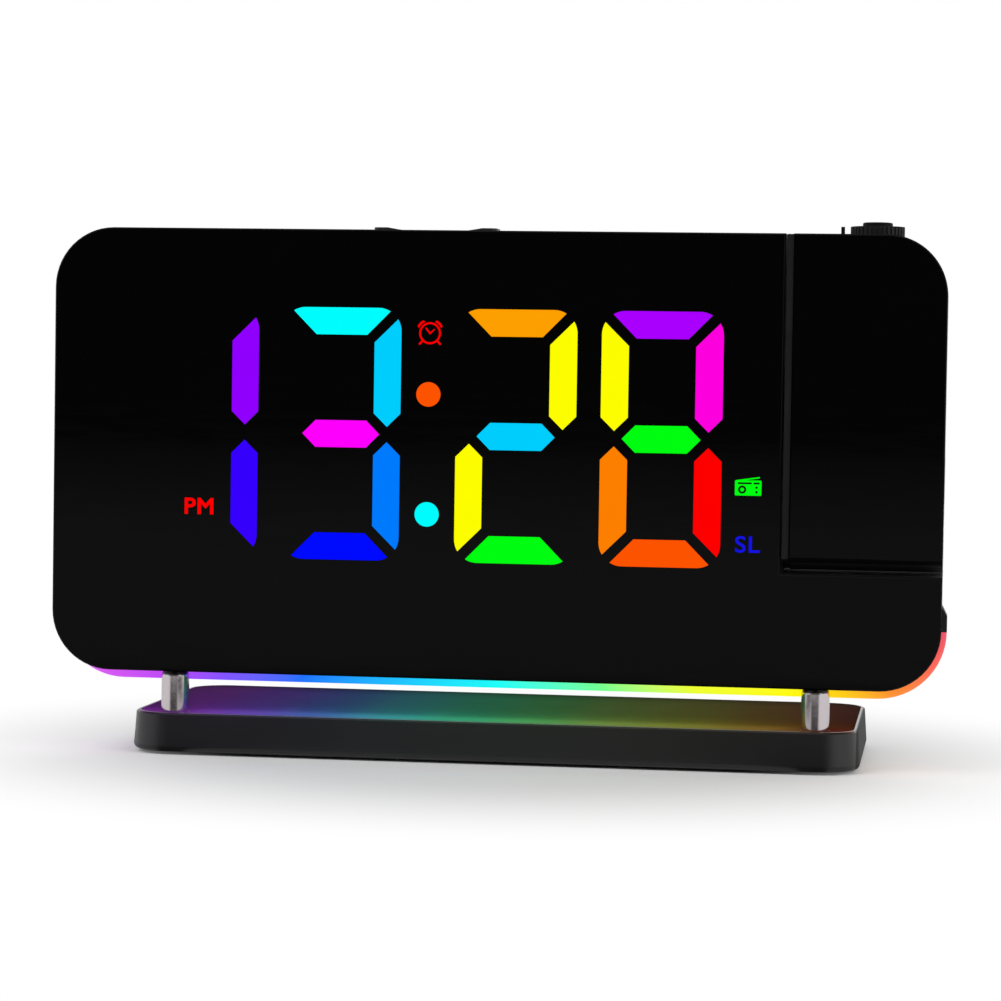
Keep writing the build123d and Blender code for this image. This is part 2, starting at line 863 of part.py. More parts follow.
# Keys: middle x of each small key
key_y = back_y - key_set_forward
key_step = snooze_width / 2 + snooze_key_gap + key_width / 2
small_keys = {
    "clock_key": snooze_x - key_step - key_pitch,
    "alarm_key": snooze_x - key_step,
    "minus_key": snooze_x + key_step,
    "plus_key": snooze_x + key_step + key_pitch,
}
key_flange_top = body_top - wall - key_gap
key_flange_low = key_flange_top - key_flange
switch_top_z = key_flange_low - key_travel - key_gap
key_board_top = switch_top_z - switch_height
key_board_low = key_board_top - board_thickness
key_bracket_y = key_y - key_depth / 2 - key_bracket_front
key_bracket_xs = [
    small_keys["clock_key"] + key_pitch / 2,
    snooze_x - snooze_width / 4,
    snooze_x + snooze_width / 4,
    small_keys["minus_key"] + key_pitch / 2,
]

speaker_x = speaker_inset - body_width / 2
speaker_z = body_mid_z
bay_z = key_board_low - bay_board_gap - wall - bay_length / 2
cell_z = bay_z + cell_rise
cell_well_radius = cell_radius + cell_gap
cover_front_y = back_y - bay_cover_thickness
cell_back_y = cover_front_y - cell_cover_gap
cell_front_y = cell_back_y - cell_thickness
well_floor_y = cell_front_y - contact_thickness
bay_screw_spot = (bay_x, bay_z - bay_length / 2 + bay_screw_inset)
bay_seat_y = back_y - bay_head_sink

main_left = speaker_x + speaker_radius + main_left_gap
main_right = hinge_relief_x - main_hinge_gap
main_low = body_bottom + main_low_gap
main_high = key_board_low - main_high_gap
main_back_y = display_board_back_y + main_behind_display
main_front_y = main_back_y - board_thickness
standoff_spots = [
    (x, z)
    for z in (main_low + standoff_inset, main_high - standoff_inset)
    for x in (main_left + standoff_inset, main_right - standoff_inset)
]
port_z = body_bottom + port_rise
inlet_x = main_right - inlet_inset
outlet_x = inlet_x - port_pitch

with BuildPart() as rear_shell:
    with BuildSketch(across(split_y)):
        add(body_outline())
    extrude(amount=split_y - back_y)
    fillet(rear_shell.faces().sort_by(Axis.Y)[-1].edges(), back_round)
    with BuildSketch(across(split_y)):
        add(body_outline(wall))
    extrude(amount=split_y - inner_back_y, mode=Mode.SUBTRACT)
    with BuildSketch(across(split_y - lap_depth + lap_gap)):
        add(ring_sketch(body_outline(wall - lap_wall + lap_gap), body_outline(wall)))
    extrude(amount=lap_gap - lap_depth)
    # columns, standoffs, speaker ring and battery bay stand on the back wall
    with BuildSketch(across(split_y)):
        with Locations(*shell_screw_spots):
            Circle(boss_radius)
    extrude(amount=split_y - inner_back_y)
    with BuildSketch(across(main_back_y)):
        with Locations(*standoff_spots):
            Circle(standoff_radius)
    extrude(amount=main_back_y - inner_back_y)
    with BuildSketch(across(inner_back_y - speaker_ring_depth)):
        with Locations((speaker_x, speaker_z)):
            Circle(speaker_radius + cover_fit + rib_thickness)
            Circle(speaker_radius + cover_fit, mode=Mode.SUBTRACT)
    extrude(amount=-speaker_ring_depth)
    with BuildSketch(across(well_floor_y - rib_thickness)):
        with Locations((bay_x, bay_z)):
            RectangleRounded(bay_width + 2 * wall, bay_length + 2 * wall, wall)
    extrude(amount=well_floor_y - rib_thickness - inner_back_y)
    with BuildSketch(across(key_bracket_y)):
        for x in key_bracket_xs:
            with Locations((x, key_board_low)):
                Rectangle(rib_thickness, key_bracket_height, align=(Align.CENTER, Align.MAX))
    extrude(amount=key_bracket_y - inner_back_y)
    # battery bay: recess for its cover, well for the cell
    with BuildSketch(across(cover_front_y)):
        with Locations((bay_x, bay_z)):
            RectangleRounded(bay_width, bay_length, wall)
    extrude(amount=-bay_cover_thickness, mode=Mode.SUBTRACT)
    with BuildSketch(across(well_floor_y)):
        with Locations((bay_x, cell_z)):
            Circle(cell_well_radius)
    extrude(amount=well_floor_y - cover_front_y, mode=Mode.SUBTRACT)
    with BuildSketch(across(cover_front_y - bay_screw_length)):
        with Locations(bay_screw_spot):
            Circle(bay_screw_radius + screw_clearance)
    extrude(amount=-bay_screw_length, mode=Mode.SUBTRACT)
    # screw holes and their counterbores
    with BuildSketch(across(split_y)):
        with Locations(*shell_screw_spots):
            Circle(screw_radius + cover_fit)
    extrude(amount=-body_depth, mode=Mode.SUBTRACT)
    with BuildSketch(across(shell_seat_y)):
        with Locations(*shell_screw_spots):
            Circle(screw_head_radius + screw_head_clearance)
    extrude(amount=-body_depth, mode=Mode.SUBTRACT)
    with BuildSketch(across(main_back_y)):
        with Locations(*standoff_spots):
            Circle(screw_radius + screw_clearance)
    extrude(amount=-pilot_depth, mode=Mode.SUBTRACT)
    # grille, ports, keys, strip and hinge openings
    with BuildSketch(across(inner_back_y)):
        with Locations((speaker_x, speaker_z)):
            Circle(grille_hole_radius)
            for ring in range(1, grille_rings + 1):
                with PolarLocations(ring * grille_pitch, 6 * ring):
                    Circle(grille_hole_radius)
        with Locations((inlet_x, port_z)):
            SlotOverall(inlet_width + 2 * port_wall_gap, inlet_height + 2 * port_wall_gap)
        with Locations((outlet_x, port_z)):
            RectangleRounded(outlet_width + 2 * port_wall_gap, outlet_height + 2 * port_wall_gap,
                             2 * port_wall_gap)
    extrude(amount=-2 * wall, mode=Mode.SUBTRACT)
    with BuildSketch(level(body_top - 2 * wall)):
        for x in small_keys.values():
            with Locations((x, key_y)):
                RectangleRounded(key_width + 2 * key_fit, key_depth + 2 * key_fit, key_corner + key_fit)
        with Locations((snooze_x, key_y)):
            RectangleRounded(snooze_width + 2 * key_fit, key_depth + 2 * key_fit, key_corner + key_fit)
    extrude(amount=4 * wall, mode=Mode.SUBTRACT)
    with BuildSketch(across(strip_front_y - strip_fit)):
        add(strip_slot())
    extrude(amount=-strip_width - 2 * strip_fit, mode=Mode.SUBTRACT)
    with BuildSketch(sideways(notch_x - 2 * wall)):
        with Locations((split_y, hinge_z)):
            Circle(bush_radius + running_gap)
    extrude(amount=4 * wall, mode=Mode.SUBTRACT)
finish(rear_shell.part, "rear_shell")

shell_screw_length = shell_seat_y - split_y + pilot_depth - screw_tip_gap
shell_screws = screw_set(across(shell_seat_y), shell_screw_spots, shell_screw_length)
finish(shell_screws, "shell_screws")

# ------------------------------------------------------------------ circuit boards and ports
with BuildPart() as main_board:
    with BuildSketch(across(main_front_y)):
        with Locations(((main_left + main_right) / 2, (main_low + main_high) / 2)):
            Rectangle(main_right - main_left, main_high - main_low)
        with Locations(*standoff_spots):
            Circle(screw_radius + cover_fit, mode=Mode.SUBTRACT)
    extrude(amount=-board_thickness)
finish(main_board.part, "main_board")

chip_x = (outlet_x + main_right) / 2
chip_places = [
    (chip_x, bay_z - chip_drop),
    (chip_x, bay_z + chip_rise),
    (main_left + 2 * standoff_inset, port_z + chip_rise),
]

with BuildPart() as main_board_chips:
    with BuildSketch(across(main_back_y)):
        for place, size in zip(chip_places, chip_sizes):
            with Locations(place):
                Rectangle(*size)
    extrude(amount=-board_thickness)
finish(main_board_chips.part, "main_board_chips")

board_screws = screw_set(from_behind(main_front_y), seen_from_behind(standoff_spots),
                         board_thickness + pilot_depth - screw_tip_gap, head_height=board_head_height)
finish(board_screws, "board_screws")

port_mouth_y = back_y - port_set_in

with BuildPart() as power_inlet:
    with BuildSketch(across(main_back_y)):
        with Locations((inlet_x, port_z)):
            SlotOverall(inlet_width, inlet_height)
    extrude(amount=main_back_y - port_mouth_y)
    with BuildSketch(across(main_back_y + board_thickness)):
        with Locations((inlet_x, port_z)):
            SlotOverall(inlet_width - 2 * inlet_wall, inlet_height - 2 * inlet_wall)
            Rectangle(inlet_tongue_width, inlet_tongue, mode=Mode.SUBTRACT)
    extrude(amount=-body_depth, mode=Mode.SUBTRACT)
    with BuildSketch(across(port_mouth_y - port_mouth_depth)):
        with Locations((inlet_x, port_z)):
            SlotOverall(inlet_width - 2 * inlet_wall, inlet_height - 2 * inlet_wall)
    extrude(amount=-body_depth, mode=Mode.SUBTRACT)
finish(power_inlet.part, "power_inlet")

with BuildPart() as usb_outlet:
    with BuildSketch(across(main_back_y)):
        with Locations((outlet_x, port_z)):
            Rectangle(outlet_width, outlet_height)
    extrude(amount=main_back_y - port_mouth_y)
    with BuildSketch(across(main_back_y + board_thickness)):
        with Locations((outlet_x, port_z)):
            Rectangle(outlet_width - 2 * outlet_wall, outlet_height - 2 * outlet_wall)
        with Locations((outlet_x, port_z + outlet_tongue_rise)):
            Rectangle(outlet_tongue_width, outlet_tongue, mode=Mode.SUBTRACT)
    extrude(amount=-body_depth, mode=Mode.SUBTRACT)
    with BuildSketch(across(port_mouth_y - port_mouth_depth)):
        with Locations((outlet_x, port_z)):
            Rectangle(outlet_width - 2 * outlet_wall, outlet_height - 2 * outlet_wall)
    extrude(amount=-body_depth, mode=Mode.SUBTRACT)
finish(usb_outlet.part, "usb_outlet")

# ------------------------------------------------------------------ speaker
speaker_axis = Axis((speaker_x, 0, speaker_z), (0, 1, 0))
speaker_plane = Plane(origin=(speaker_x, inner_back_y, speaker_z), x_dir=(1, 0, 0), z_dir=(0, 0, 1))
cone_rim_radius = speaker_radius - speaker_rim

with BuildPart() as speaker_basket:
    with BuildSketch(speaker_plane):
        Polygon(
            (cone_rim_radius, 0),
            (speaker_radius, 0),
            (speaker_radius, -speaker_rim_depth),
            (speaker_radius - speaker_sheet, -speaker_rim_depth),
            (speaker_neck_radius, -speaker_depth),
            (0, -speaker_depth),
            (0, speaker_floor - speaker_depth),
            (speaker_neck_radius - speaker_sheet, speaker_floor - speaker_depth),
            (cone_rim_radius, -speaker_rim_depth),
            align=None,
        )
    revolve(axis=speaker_axis)
finish(speaker_basket.part, "speaker_basket")

with BuildPart() as speaker_cone:
    with BuildSketch(speaker_plane):
        Polygon(
            (cone_rim_radius - contact_side_gap, -cone_set_in),
            (cone_rim_radius - contact_side_gap, -cone_set_in - cone_sheet),
            (cone_neck_radius, -cone_depth),
            (0, -cone_depth),
            (0, cone_sheet - cone_depth),
            (cone_neck_radius - cone_sheet, cone_sheet - cone_depth),
            align=None,
        )
    revolve(axis=speaker_axis)
finish(speaker_cone.part, "speaker_cone")

with BuildPart() as speaker_magnet:
    with BuildSketch(across(inner_back_y - speaker_depth - magnet_depth)):
        with Locations((speaker_x, speaker_z)):
            Circle(magnet_radius)
    extrude(amount=-magnet_depth)
finish(speaker_magnet.part, "speaker_magnet")

# ------------------------------------------------------------------ backup cell
with BuildPart() as backup_cell:
    with BuildSketch(across(cell_front_y)):
        with Locations((bay_x, cell_z)):
            Circle(cell_radius)
    extrude(amount=-cell_thickness)
    fillet(backup_cell.edges().filter_by(GeomType.CIRCLE).group_by(Axis.Y)[0], cell_round)
finish(backup_cell.part, "backup_cell")

with BuildPart() as cell_contacts:
    with BuildSketch(across(well_floor_y)):
        with Locations((bay_x, cell_z)):
            Circle(contact_radius)
    extrude(amount=-contact_thickness)
    with BuildSketch(across(cell_front_y)):
        with Locations((bay_x + cell_radius + contact_side_gap, cell_z)):
            Rectangle(contact_thickness, contact_radius, align=(Align.MIN, Align.CENTER))
    extrude(amount=-cell_thickness)
finish(cell_contacts.part, "cell_contacts")

with BuildPart() as battery_cover:
    with BuildSketch(across(cover_front_y)):
        with Locations((bay_x, bay_z)):
            RectangleRounded(bay_width - 2 * cover_fit, bay_length - 2 * cover_fit, wall - cover_fit)
        with Locations(bay_screw_spot):
            Circle(bay_screw_radius + cover_fit, mode=Mode.SUBTRACT)
    extrude(amount=-bay_cover_thickness)
    with BuildSketch(across(bay_seat_y)):
        with Locations(bay_screw_spot):
            Circle(bay_head_radius + screw_head_clearance)
    extrude(amount=-bay_head_sink, mode=Mode.SUBTRACT)
    with BuildSketch(across(back_y - bay_groove_depth)):
        for step in (-2, -1, 0, 1, 2):
            with Locations((bay_x, bay_z + bay_length / 4 + bay_groove_pitch * step)):
                Rectangle(bay_width / 2, bay_groove_width)
    extrude(amount=-bay_groove_depth, mode=Mode.SUBTRACT)
finish(battery_cover.part, "battery_cover")

battery_cover_screw = screw_set(across(bay_seat_y), [bay_screw_spot], bay_screw_length,
                                bay_screw_radius, bay_head_radius, bay_head_height)
finish(battery_cover_screw, "battery_cover_screw")

# ------------------------------------------------------------------ keys
key_board_left = small_keys["clock_key"] - key_width / 2 - key_board_end
key_board_right = small_keys["plus_key"] + key_width / 2 + key_board_end
key_middles = [(x, key_y) for x in small_keys.values()] + [(snooze_x, key_y)]
plunger_low = switch_top_z - switch_well + key_travel + key_gap

with BuildPart() as key_board:
    with BuildSketch(level(key_board_low)):
        with Locations(((key_board_left + key_board_right) / 2, key_y)):
            Rectangle(key_board_right - key_board_left, key_depth + 2 * key_board_side)
    extrude(amount=board_thickness)
finish(key_board.part, "key_board")

with BuildPart() as key_switches:
    with BuildSketch(level(key_board_top)):
        with Locations(*key_middles):
            Rectangle(switch_size, switch_size)
    extrude(amount=switch_height)
    with BuildSketch(level(switch_top_z - switch_well)):
        with Locations(*key_middles):
            Circle(plunger_radius + cover_fit)
    extrude(amount=switch_well, mode=Mode.SUBTRACT)
finish(key_switches.part, "key_switches")


def key_foot(x, width):
    """The part of a key below the body's top: its flange and the plunger that enters the switch."""
    with BuildPart() as foot:
        with BuildSketch(level(key_flange_low)):
            with Locations((x, key_y)):
                Rectangle(width + 2 * key_fit + 2 * key_flange_side_lip,
                          key_depth + 2 * key_fit + 2 * key_flange_end_lip)
        extrude(amount=key_flange)
        with BuildSketch(level(plunger_low)):
            with Locations((x, key_y)):
                Circle(plunger_radius)
        extrude(amount=key_flange_low - plunger_low)
    return foot.part


for key_name, key_x in small_keys.items():
    with BuildPart() as small_key:
        with BuildSketch(level(key_flange_low)):
            with Locations((key_x, key_y)):
                RectangleRounded(key_width, key_depth, key_corner)
        extrude(amount=body_top + key_proud - key_flange_low)
        fillet(small_key.faces().sort_by(Axis.Z)[-1].edges(), key_edge_round)
        add(key_foot(key_x, key_width))
    finish(small_key.part, key_name)

with BuildPart() as snooze_bar:
    with BuildSketch(across(key_y - key_depth / 2)):
        half = snooze_width / 2
        horn_z = body_top + snooze_horn_proud
        with BuildLine():
            Polyline(
                (snooze_x + half - snooze_horn_width, horn_z), (snooze_x + half, horn_z),
                (snooze_x + half, key_flange_low), (snooze_x - half, key_flange_low),
                (snooze_x - half, horn_z), (snooze_x - half + snooze_horn_width, horn_z),
            )
            ThreePointArc(
                (snooze_x - half + snooze_horn_width, horn_z), (snooze_x, body_top + key_proud / 2),
                (snooze_x + half - snooze_horn_width, horn_z),
            )
        make_face()
    extrude(amount=-key_depth)
    fillet(snooze_bar.edges().filter_by(Axis.Z), key_corner)
    add(key_foot(snooze_x, snooze_width))
finish(snooze_bar.part, "snooze_bar")


# ------------------------------------------------------------------ arm hinge
def about_hinge(x):
    """Sketch plane square to the hinge's axis, its origin on the axis."""
    return Plane(origin=(x, split_y, hinge_z), x_dir=(0, 1, 0), z_dir=(1, 0, 0))


bush_x = notch_x - wall - bush_flange_thickness
washer_x = bush_x - washer_thickness
spring_x = washer_x - spring_rise
clip_x = spring_x - clip_thickness
shaft_end_x = clip_x - shaft_tail
shaft_flange_x = arm_left + wall
washer_bore_radius = shaft_radius + 2 * running_gap

with BuildPart() as hinge_bush:
    with BuildSketch(about_hinge(bush_x)):
        Circle(bush_flange_radius)
    extrude(amount=bush_flange_thickness)
    with BuildSketch(about_hinge(bush_x)):
        Circle(bush_radius)
    extrude(amount=bush_flange_thickness + wall + bush_proud)
    with BuildSketch(about_hinge(bush_x)):
        Circle(shaft_radius + running_gap)
    extrude(amount=body_depth, mode=Mode.SUBTRACT)
finish(hinge_bush.part, "hinge_bush")

with BuildPart() as friction_washer:
    with BuildSketch(about_hinge(washer_x)):
        Circle(washer_radius)
        Circle(washer_bore_radius, mode=Mode.SUBTRACT)
    extrude(amount=washer_thickness)
finish(friction_washer.part, "friction_washer")

with BuildPart() as hinge_spring:
    with BuildSketch(Plane(origin=(spring_x, split_y, hinge_z), x_dir=(1, 0, 0), z_dir=(0, -1, 0))):
        Polygon(
            (0, washer_bore_radius), (spring_thickness, washer_bore_radius),
            (spring_rise, washer_radius), (spring_rise - spring_thickness, washer_radius), align=None,
        )
    revolve(axis=Axis((0, split_y, hinge_z), (1, 0, 0)))
finish(hinge_spring.part, "hinge_spring")

with BuildPart() as hinge_clip:
    with BuildSketch(about_hinge(clip_x)):
        Circle(clip_radius)
        Circle(shaft_radius - clip_groove_depth + running_gap, mode=Mode.SUBTRACT)
        Rectangle(clip_slot, 2 * clip_radius, align=(Align.CENTER, Align.MAX), mode=Mode.SUBTRACT)
    extrude(amount=clip_thickness)
finish(hinge_clip.part, "hinge_clip")

with BuildPart() as hinge_shaft:
    with BuildSketch(about_hinge(shaft_end_x)):
        Circle(shaft_radius)
    extrude(amount=shaft_flange_x - shaft_end_x)
    with BuildSketch(about_hinge(clip_x)):
        Circle(shaft_radius)
        Circle(shaft_radius - clip_groove_depth, mode=Mode.SUBTRACT)
    extrude(amount=clip_thickness, mode=Mode.SUBTRACT)
    with BuildSketch(about_hinge(shaft_flange_x)):
        RectangleRounded(shaft_flange, shaft_flange, shaft_flange_corner)
    extrude(amount=shaft_flange_thickness)
    with BuildSketch(about_hinge(shaft_end_x)):
        Circle(shaft_bore_radius)
    extrude(amount=arm_width, mode=Mode.SUBTRACT)
finish(hinge_shaft.part, "hinge_shaft")

# ------------------------------------------------------------------ projector arm
arm_right = body_width / 2
arm_inner_front_y = window_back_y + arm_front_wall
arm_screw_spots = [
    (arm_left + arm_boss_inset, body_top - arm_boss_drop),
    (arm_right - arm_boss_inset, body_top - arm_boss_drop),
    (arm_left + arm_boss_inset, notch_z + arm_boss_rise),
    (arm_right - arm_boss_inset, notch_z + arm_boss_rise),
]
lens_x = arm_mid_x + lens_offset_x
tube_bottom_z = notch_z + tube_rise
tube_step_z = tube_bottom_z + tube_wide_length
ring_flange_z = body_top - wall - ring_flange_gap - ring_flange_thickness
tube_top_z = ring_flange_z - tube_top_gap
lower_saddle_z = tube_bottom_z + lower_saddle_rise
projector_key_spot = (arm_mid_x, notch_z + projector_key_rise)
projector_flange_radius = projector_key_radius + key_fit + projector_flange_lip
projector_switch_y = back_y - projector_key_set
projector_board_y = projector_switch_y - switch_height
board_half_width = arm_width / 2 - arm_boss_inset - arm_boss_radius - board_side_gap
board_post_z = projector_key_spot[1] + projector_flange_radius + board_post_radius + cover_fit


def lens_plane(z):
    """Sketch plane square to the projector's axis, its origin on the axis."""
    return Plane(origin=(lens_x, split_y, z), x_dir=(1, 0, 0), z_dir=(0, 0, 1))


def saddle(z, radius, toward):
    """A rib across the arm that cradles the projector tube from the front (-1) or the back (1)."""
    reach = split_y - arm_inner_front_y if toward < 0 else inner_back_y - split_y
    edge = Align.MAX if toward < 0 else Align.MIN
    with BuildPart() as rib:
        with BuildSketch(level(z)):
            with Locations((arm_mid_x, split_y)):
                Rectangle(arm_width - wall, reach + wall / 2, align=(Align.CENTER, edge))
            with Locations((lens_x, split_y)):
                Circle(radius + running_gap, mode=Mode.SUBTRACT)
        extrude(amount=rib_thickness)
    return rib.part


with BuildPart() as arm_window:
    add(arm_block(front_y, window_back_y))
    chamfer(arm_window.faces().sort_by(Axis.Y)[0].edges(), window_bevel)
finish(arm_window.part, "arm_window")

with BuildPart() as arm_front_shell:
    add(arm_block(window_back_y, split_y))
    add(arm_block(arm_inner_front_y, split_y, wall), mode=Mode.SUBTRACT)
    with BuildSketch(across(arm_inner_front_y - arm_front_wall / 2)):
        with Locations(*arm_screw_spots):
            Circle(arm_boss_radius)
    extrude(amount=arm_inner_front_y - arm_front_wall / 2 - split_y)
    add(saddle(lower_saddle_z, tube_radius, -1))
    add(saddle(tube_step_z, tube_neck_radius, -1))
    with BuildSketch(across(split_y - pilot_depth)):
        with Locations(*arm_screw_spots):
            Circle(screw_radius + screw_clearance)
    extrude(amount=-pilot_depth, mode=Mode.SUBTRACT)
    with BuildSketch(about_hinge(arm_left)):
        Circle(shaft_radius + running_gap)
    extrude(amount=wall, mode=Mode.SUBTRACT)
    with BuildSketch(lens_plane(body_top - 2 * wall)):
        Circle(ring_neck_radius + running_gap)
    extrude(amount=3 * wall, mode=Mode.SUBTRACT)
finish(arm_front_shell.part, "arm_front_shell")

with BuildPart() as arm_rear_shell:
    add(arm_block(split_y, back_y))
    fillet(arm_rear_shell.faces().sort_by(Axis.Y)[-1].edges(), back_round)
    add(arm_block(split_y, inner_back_y, wall), mode=Mode.SUBTRACT)
    with BuildSketch(across(split_y)):
        with Locations(*arm_screw_spots):
            Circle(arm_boss_radius)
    extrude(amount=split_y - inner_back_y)
    add(saddle(lower_saddle_z, tube_radius, 1))
    add(saddle(tube_step_z, tube_neck_radius, 1))
    # keys above and below the hinge's flange, posts behind the circuit board, index rib by the ring
    with BuildSketch(across(split_y)):
        for side in (-1, 1):
            key_z = hinge_z + side * (shaft_flange / 2 + cover_fit + rib_thickness / 2)
            with Locations((shaft_flange_x - wall / 2, key_z)):
                Rectangle(wall / 2 + shaft_flange_thickness + shaft_key_lip, rib_thickness,
                          align=(Align.MIN, Align.CENTER))
    extrude(amount=split_y - inner_back_y)
    with BuildSketch(across(projector_board_y)):
        for side in (-1, 1):
            with Locations((arm_mid_x + side * (board_half_width - board_post_radius), board_post_z)):
                Circle(board_post_radius)
    extrude(amount=projector_board_y - inner_back_y)
    with BuildSketch(sideways(lens_x - ring_radius - index_gap - index_thickness)):
        Polygon((split_y, body_top - wall / 2), (split_y, body_top + ring_proud),
                (split_y + index_length, body_top), (split_y + index_length, body_top - wall / 2), align=None)
    extrude(amount=index_thickness)
    with BuildSketch(across(split_y)):
        with Locations(*arm_screw_spots):
            Circle(screw_radius + cover_fit)
    extrude(amount=-body_depth, mode=Mode.SUBTRACT)
    with BuildSketch(across(shell_seat_y)):
        with Locations(*arm_screw_spots):
            Circle(screw_head_radius + screw_head_clearance)
    extrude(amount=-body_depth, mode=Mode.SUBTRACT)
    with BuildSketch(across(inner_back_y)):
        with Locations(projector_key_spot):
            Circle(projector_key_radius + key_fit)
    extrude(amount=-2 * wall, mode=Mode.SUBTRACT)
    with BuildSketch(about_hinge(arm_left)):
        Circle(shaft_radius + running_gap)
    extrude(amount=wall, mode=Mode.SUBTRACT)
    with BuildSketch(lens_plane(body_top - 2 * wall)):
        Circle(ring_neck_radius + running_gap)
    extrude(amount=3 * wall, mode=Mode.SUBTRACT)
finish(arm_rear_shell.part, "arm_rear_shell")

arm_screws = screw_set(across(shell_seat_y), arm_screw_spots, shell_screw_length)
finish(arm_screws, "arm_screws")

# ------------------------------------------------------------------ projector optics
condenser_z = tube_bottom_z + condenser_rise
lcd_z = tube_bottom_z + lcd_rise
barrel_top_z = body_top + barrel_proud
barrel_shoulder_z = body_top - wall
barrel_low_z = barrel_top_z - barrel_length - barrel_proud
ring_low_z = body_top + ring_lift
ring_top_z = body_top + ring_proud

with BuildPart() as projector_tube:
    with BuildSketch(lens_plane(tube_bottom_z)):
        Circle(tube_radius)
    extrude(amount=tube_wide_length)
    with BuildSketch(lens_plane(tube_step_z)):
        Circle(tube_neck_radius)
    extrude(amount=tube_top_z - tube_step_z)
    with BuildSketch(lens_plane(tube_bottom_z)):
        Circle(tube_bore_radius)
    extrude(amount=tube_wide_length - wall, mode=Mode.SUBTRACT)
    for ledge_top in (condenser_z, lcd_z):
        with BuildSketch(lens_plane(ledge_top - rib_thickness)):
            Circle(tube_bore_radius + running_gap)
            Circle(tube_bore_radius - tube_ledge, mode=Mode.SUBTRACT)
        extrude(amount=rib_thickness)
    with BuildSketch(lens_plane(tube_step_z - 2 * wall)):
        Circle(barrel_radius + running_gap)
    extrude(amount=body_height, mode=Mode.SUBTRACT)
finish(projector_tube.part, "projector_tube")

with BuildPart() as led_heatsink:
    with BuildSketch(lens_plane(tube_bottom_z - heatsink_height)):
        Rectangle(heatsink_size, heatsink_size)
    extrude(amount=heatsink_height)
    with BuildSketch(lens_plane(tube_bottom_z - heatsink_height)):
        with GridLocations(fin_pitch, 0, fin_slots, 1):
            Rectangle(fin_pitch / 2, heatsink_size)
    extrude(amount=heatsink_height - heatsink_floor, mode=Mode.SUBTRACT)
finish(led_heatsink.part, "led_heatsink")

with BuildPart() as projector_led:
    with BuildSketch(lens_plane(tube_bottom_z)):
        Rectangle(projector_led_size, projector_led_size)
    extrude(amount=led_height)
finish(projector_led.part, "projector_led")

condenser_radius = tube_bore_radius - 2 * running_gap
condenser_curve = (condenser_radius**2 + condenser_crown**2) / (2 * condenser_crown)
condenser_half_angle = asin(condenser_radius / condenser_curve) / 2

with BuildPart() as condenser_lens:
    with BuildSketch(Plane(origin=(lens_x, split_y, condenser_z), x_dir=(1, 0, 0), z_dir=(0, -1, 0))):
        with BuildLine():
            Polyline((0, condenser_edge + condenser_crown), (0, 0), (condenser_radius, 0),
                     (condenser_radius, condenser_edge))
            ThreePointArc(
                (condenser_radius, condenser_edge),
                (condenser_curve * sin(condenser_half_angle),
                 condenser_edge + condenser_crown + condenser_curve * (cos(condenser_half_angle) - 1)),
                (0, condenser_edge + condenser_crown),
            )
        make_face()
    revolve(axis=Axis((lens_x, split_y, 0), (0, 0, 1)))
finish(condenser_lens.part, "condenser_lens")

with BuildPart() as time_lcd:
    with BuildSketch(lens_plane(lcd_z)):
        Rectangle(lcd_size, lcd_size)
    extrude(amount=board_thickness)
finish(time_lcd.part, "time_lcd")

with BuildPart() as lens_barrel:
    with BuildSketch(lens_plane(barrel_low_z)):
        Circle(barrel_radius)
    extrude(amount=barrel_shoulder_z - barrel_low_z)
    with BuildSketch(lens_plane(barrel_shoulder_z)):
        Circle(barrel_nose_radius)
    extrude(amount=barrel_top_z - barrel_shoulder_z)
    fillet(lens_barrel.faces().sort_by(Axis.Z)[-1].edges(), barrel_edge_round)
    with BuildSketch(lens_plane(barrel_low_z)):
        Circle(barrel_bore_radius)
    extrude(amount=body_height, mode=Mode.SUBTRACT)
finish(lens_barrel.part, "lens_barrel")

with BuildPart() as objective_lens:
    with BuildSketch(lens_plane(barrel_top_z - objective_set_in - objective_thickness)):
        Circle(barrel_bore_radius - running_gap)
    extrude(amount=objective_thickness)
    fillet(objective_lens.faces().sort_by(Axis.Z)[-1].edges(), objective_round)
finish(objective_lens.part, "objective_lens")

with BuildPart() as focus_ring:
    with BuildSketch(lens_plane(ring_low_z)):
        Circle(ring_radius)
        with PolarLocations(ring_radius, grip_count):
            Circle(grip_radius, mode=Mode.SUBTRACT)
    extrude(amount=ring_top_z - ring_low_z)
    with BuildSketch(lens_plane(ring_flange_z)):
        Circle(ring_neck_radius)
    extrude(amount=ring_low_z - ring_flange_z)
    with BuildSketch(lens_plane(ring_flange_z)):
        Circle(ring_flange_radius)
    extrude(amount=ring_flange_thickness)
    with BuildSketch(lens_plane(ring_flange_z)):
        Circle(barrel_radius + running_gap)
    extrude(amount=barrel_shoulder_z + focus_travel + focus_spare - ring_flange_z, mode=Mode.SUBTRACT)
    with BuildSketch(lens_plane(ring_flange_z)):
        Circle(barrel_nose_radius + running_gap)
    extrude(amount=body_height, mode=Mode.SUBTRACT)
finish(focus_ring.part, "focus_ring")

# ------------------------------------------------------------------ projector key
with BuildPart() as projector_board:
    with BuildSketch(across(projector_board_y - board_thickness)):
        with Locations((arm_mid_x, notch_z + board_low_edge)):
            Rectangle(2 * board_half_width, board_post_z + board_post_radius - notch_z - board_low_edge,
                      align=(Align.CENTER, Align.MIN))
    extrude(amount=-board_thickness)
finish(projector_board.part, "projector_board")

with BuildPart() as projector_switch:
    with BuildSketch(across(projector_board_y)):
        with Locations(projector_key_spot):
            Rectangle(switch_size, switch_size)
    extrude(amount=-switch_height)
    with BuildSketch(across(projector_switch_y - switch_well)):
        with Locations(projector_key_spot):
            Circle(plunger_radius + cover_fit)
    extrude(amount=-switch_well, mode=Mode.SUBTRACT)
finish(projector_switch.part, "projector_switch")

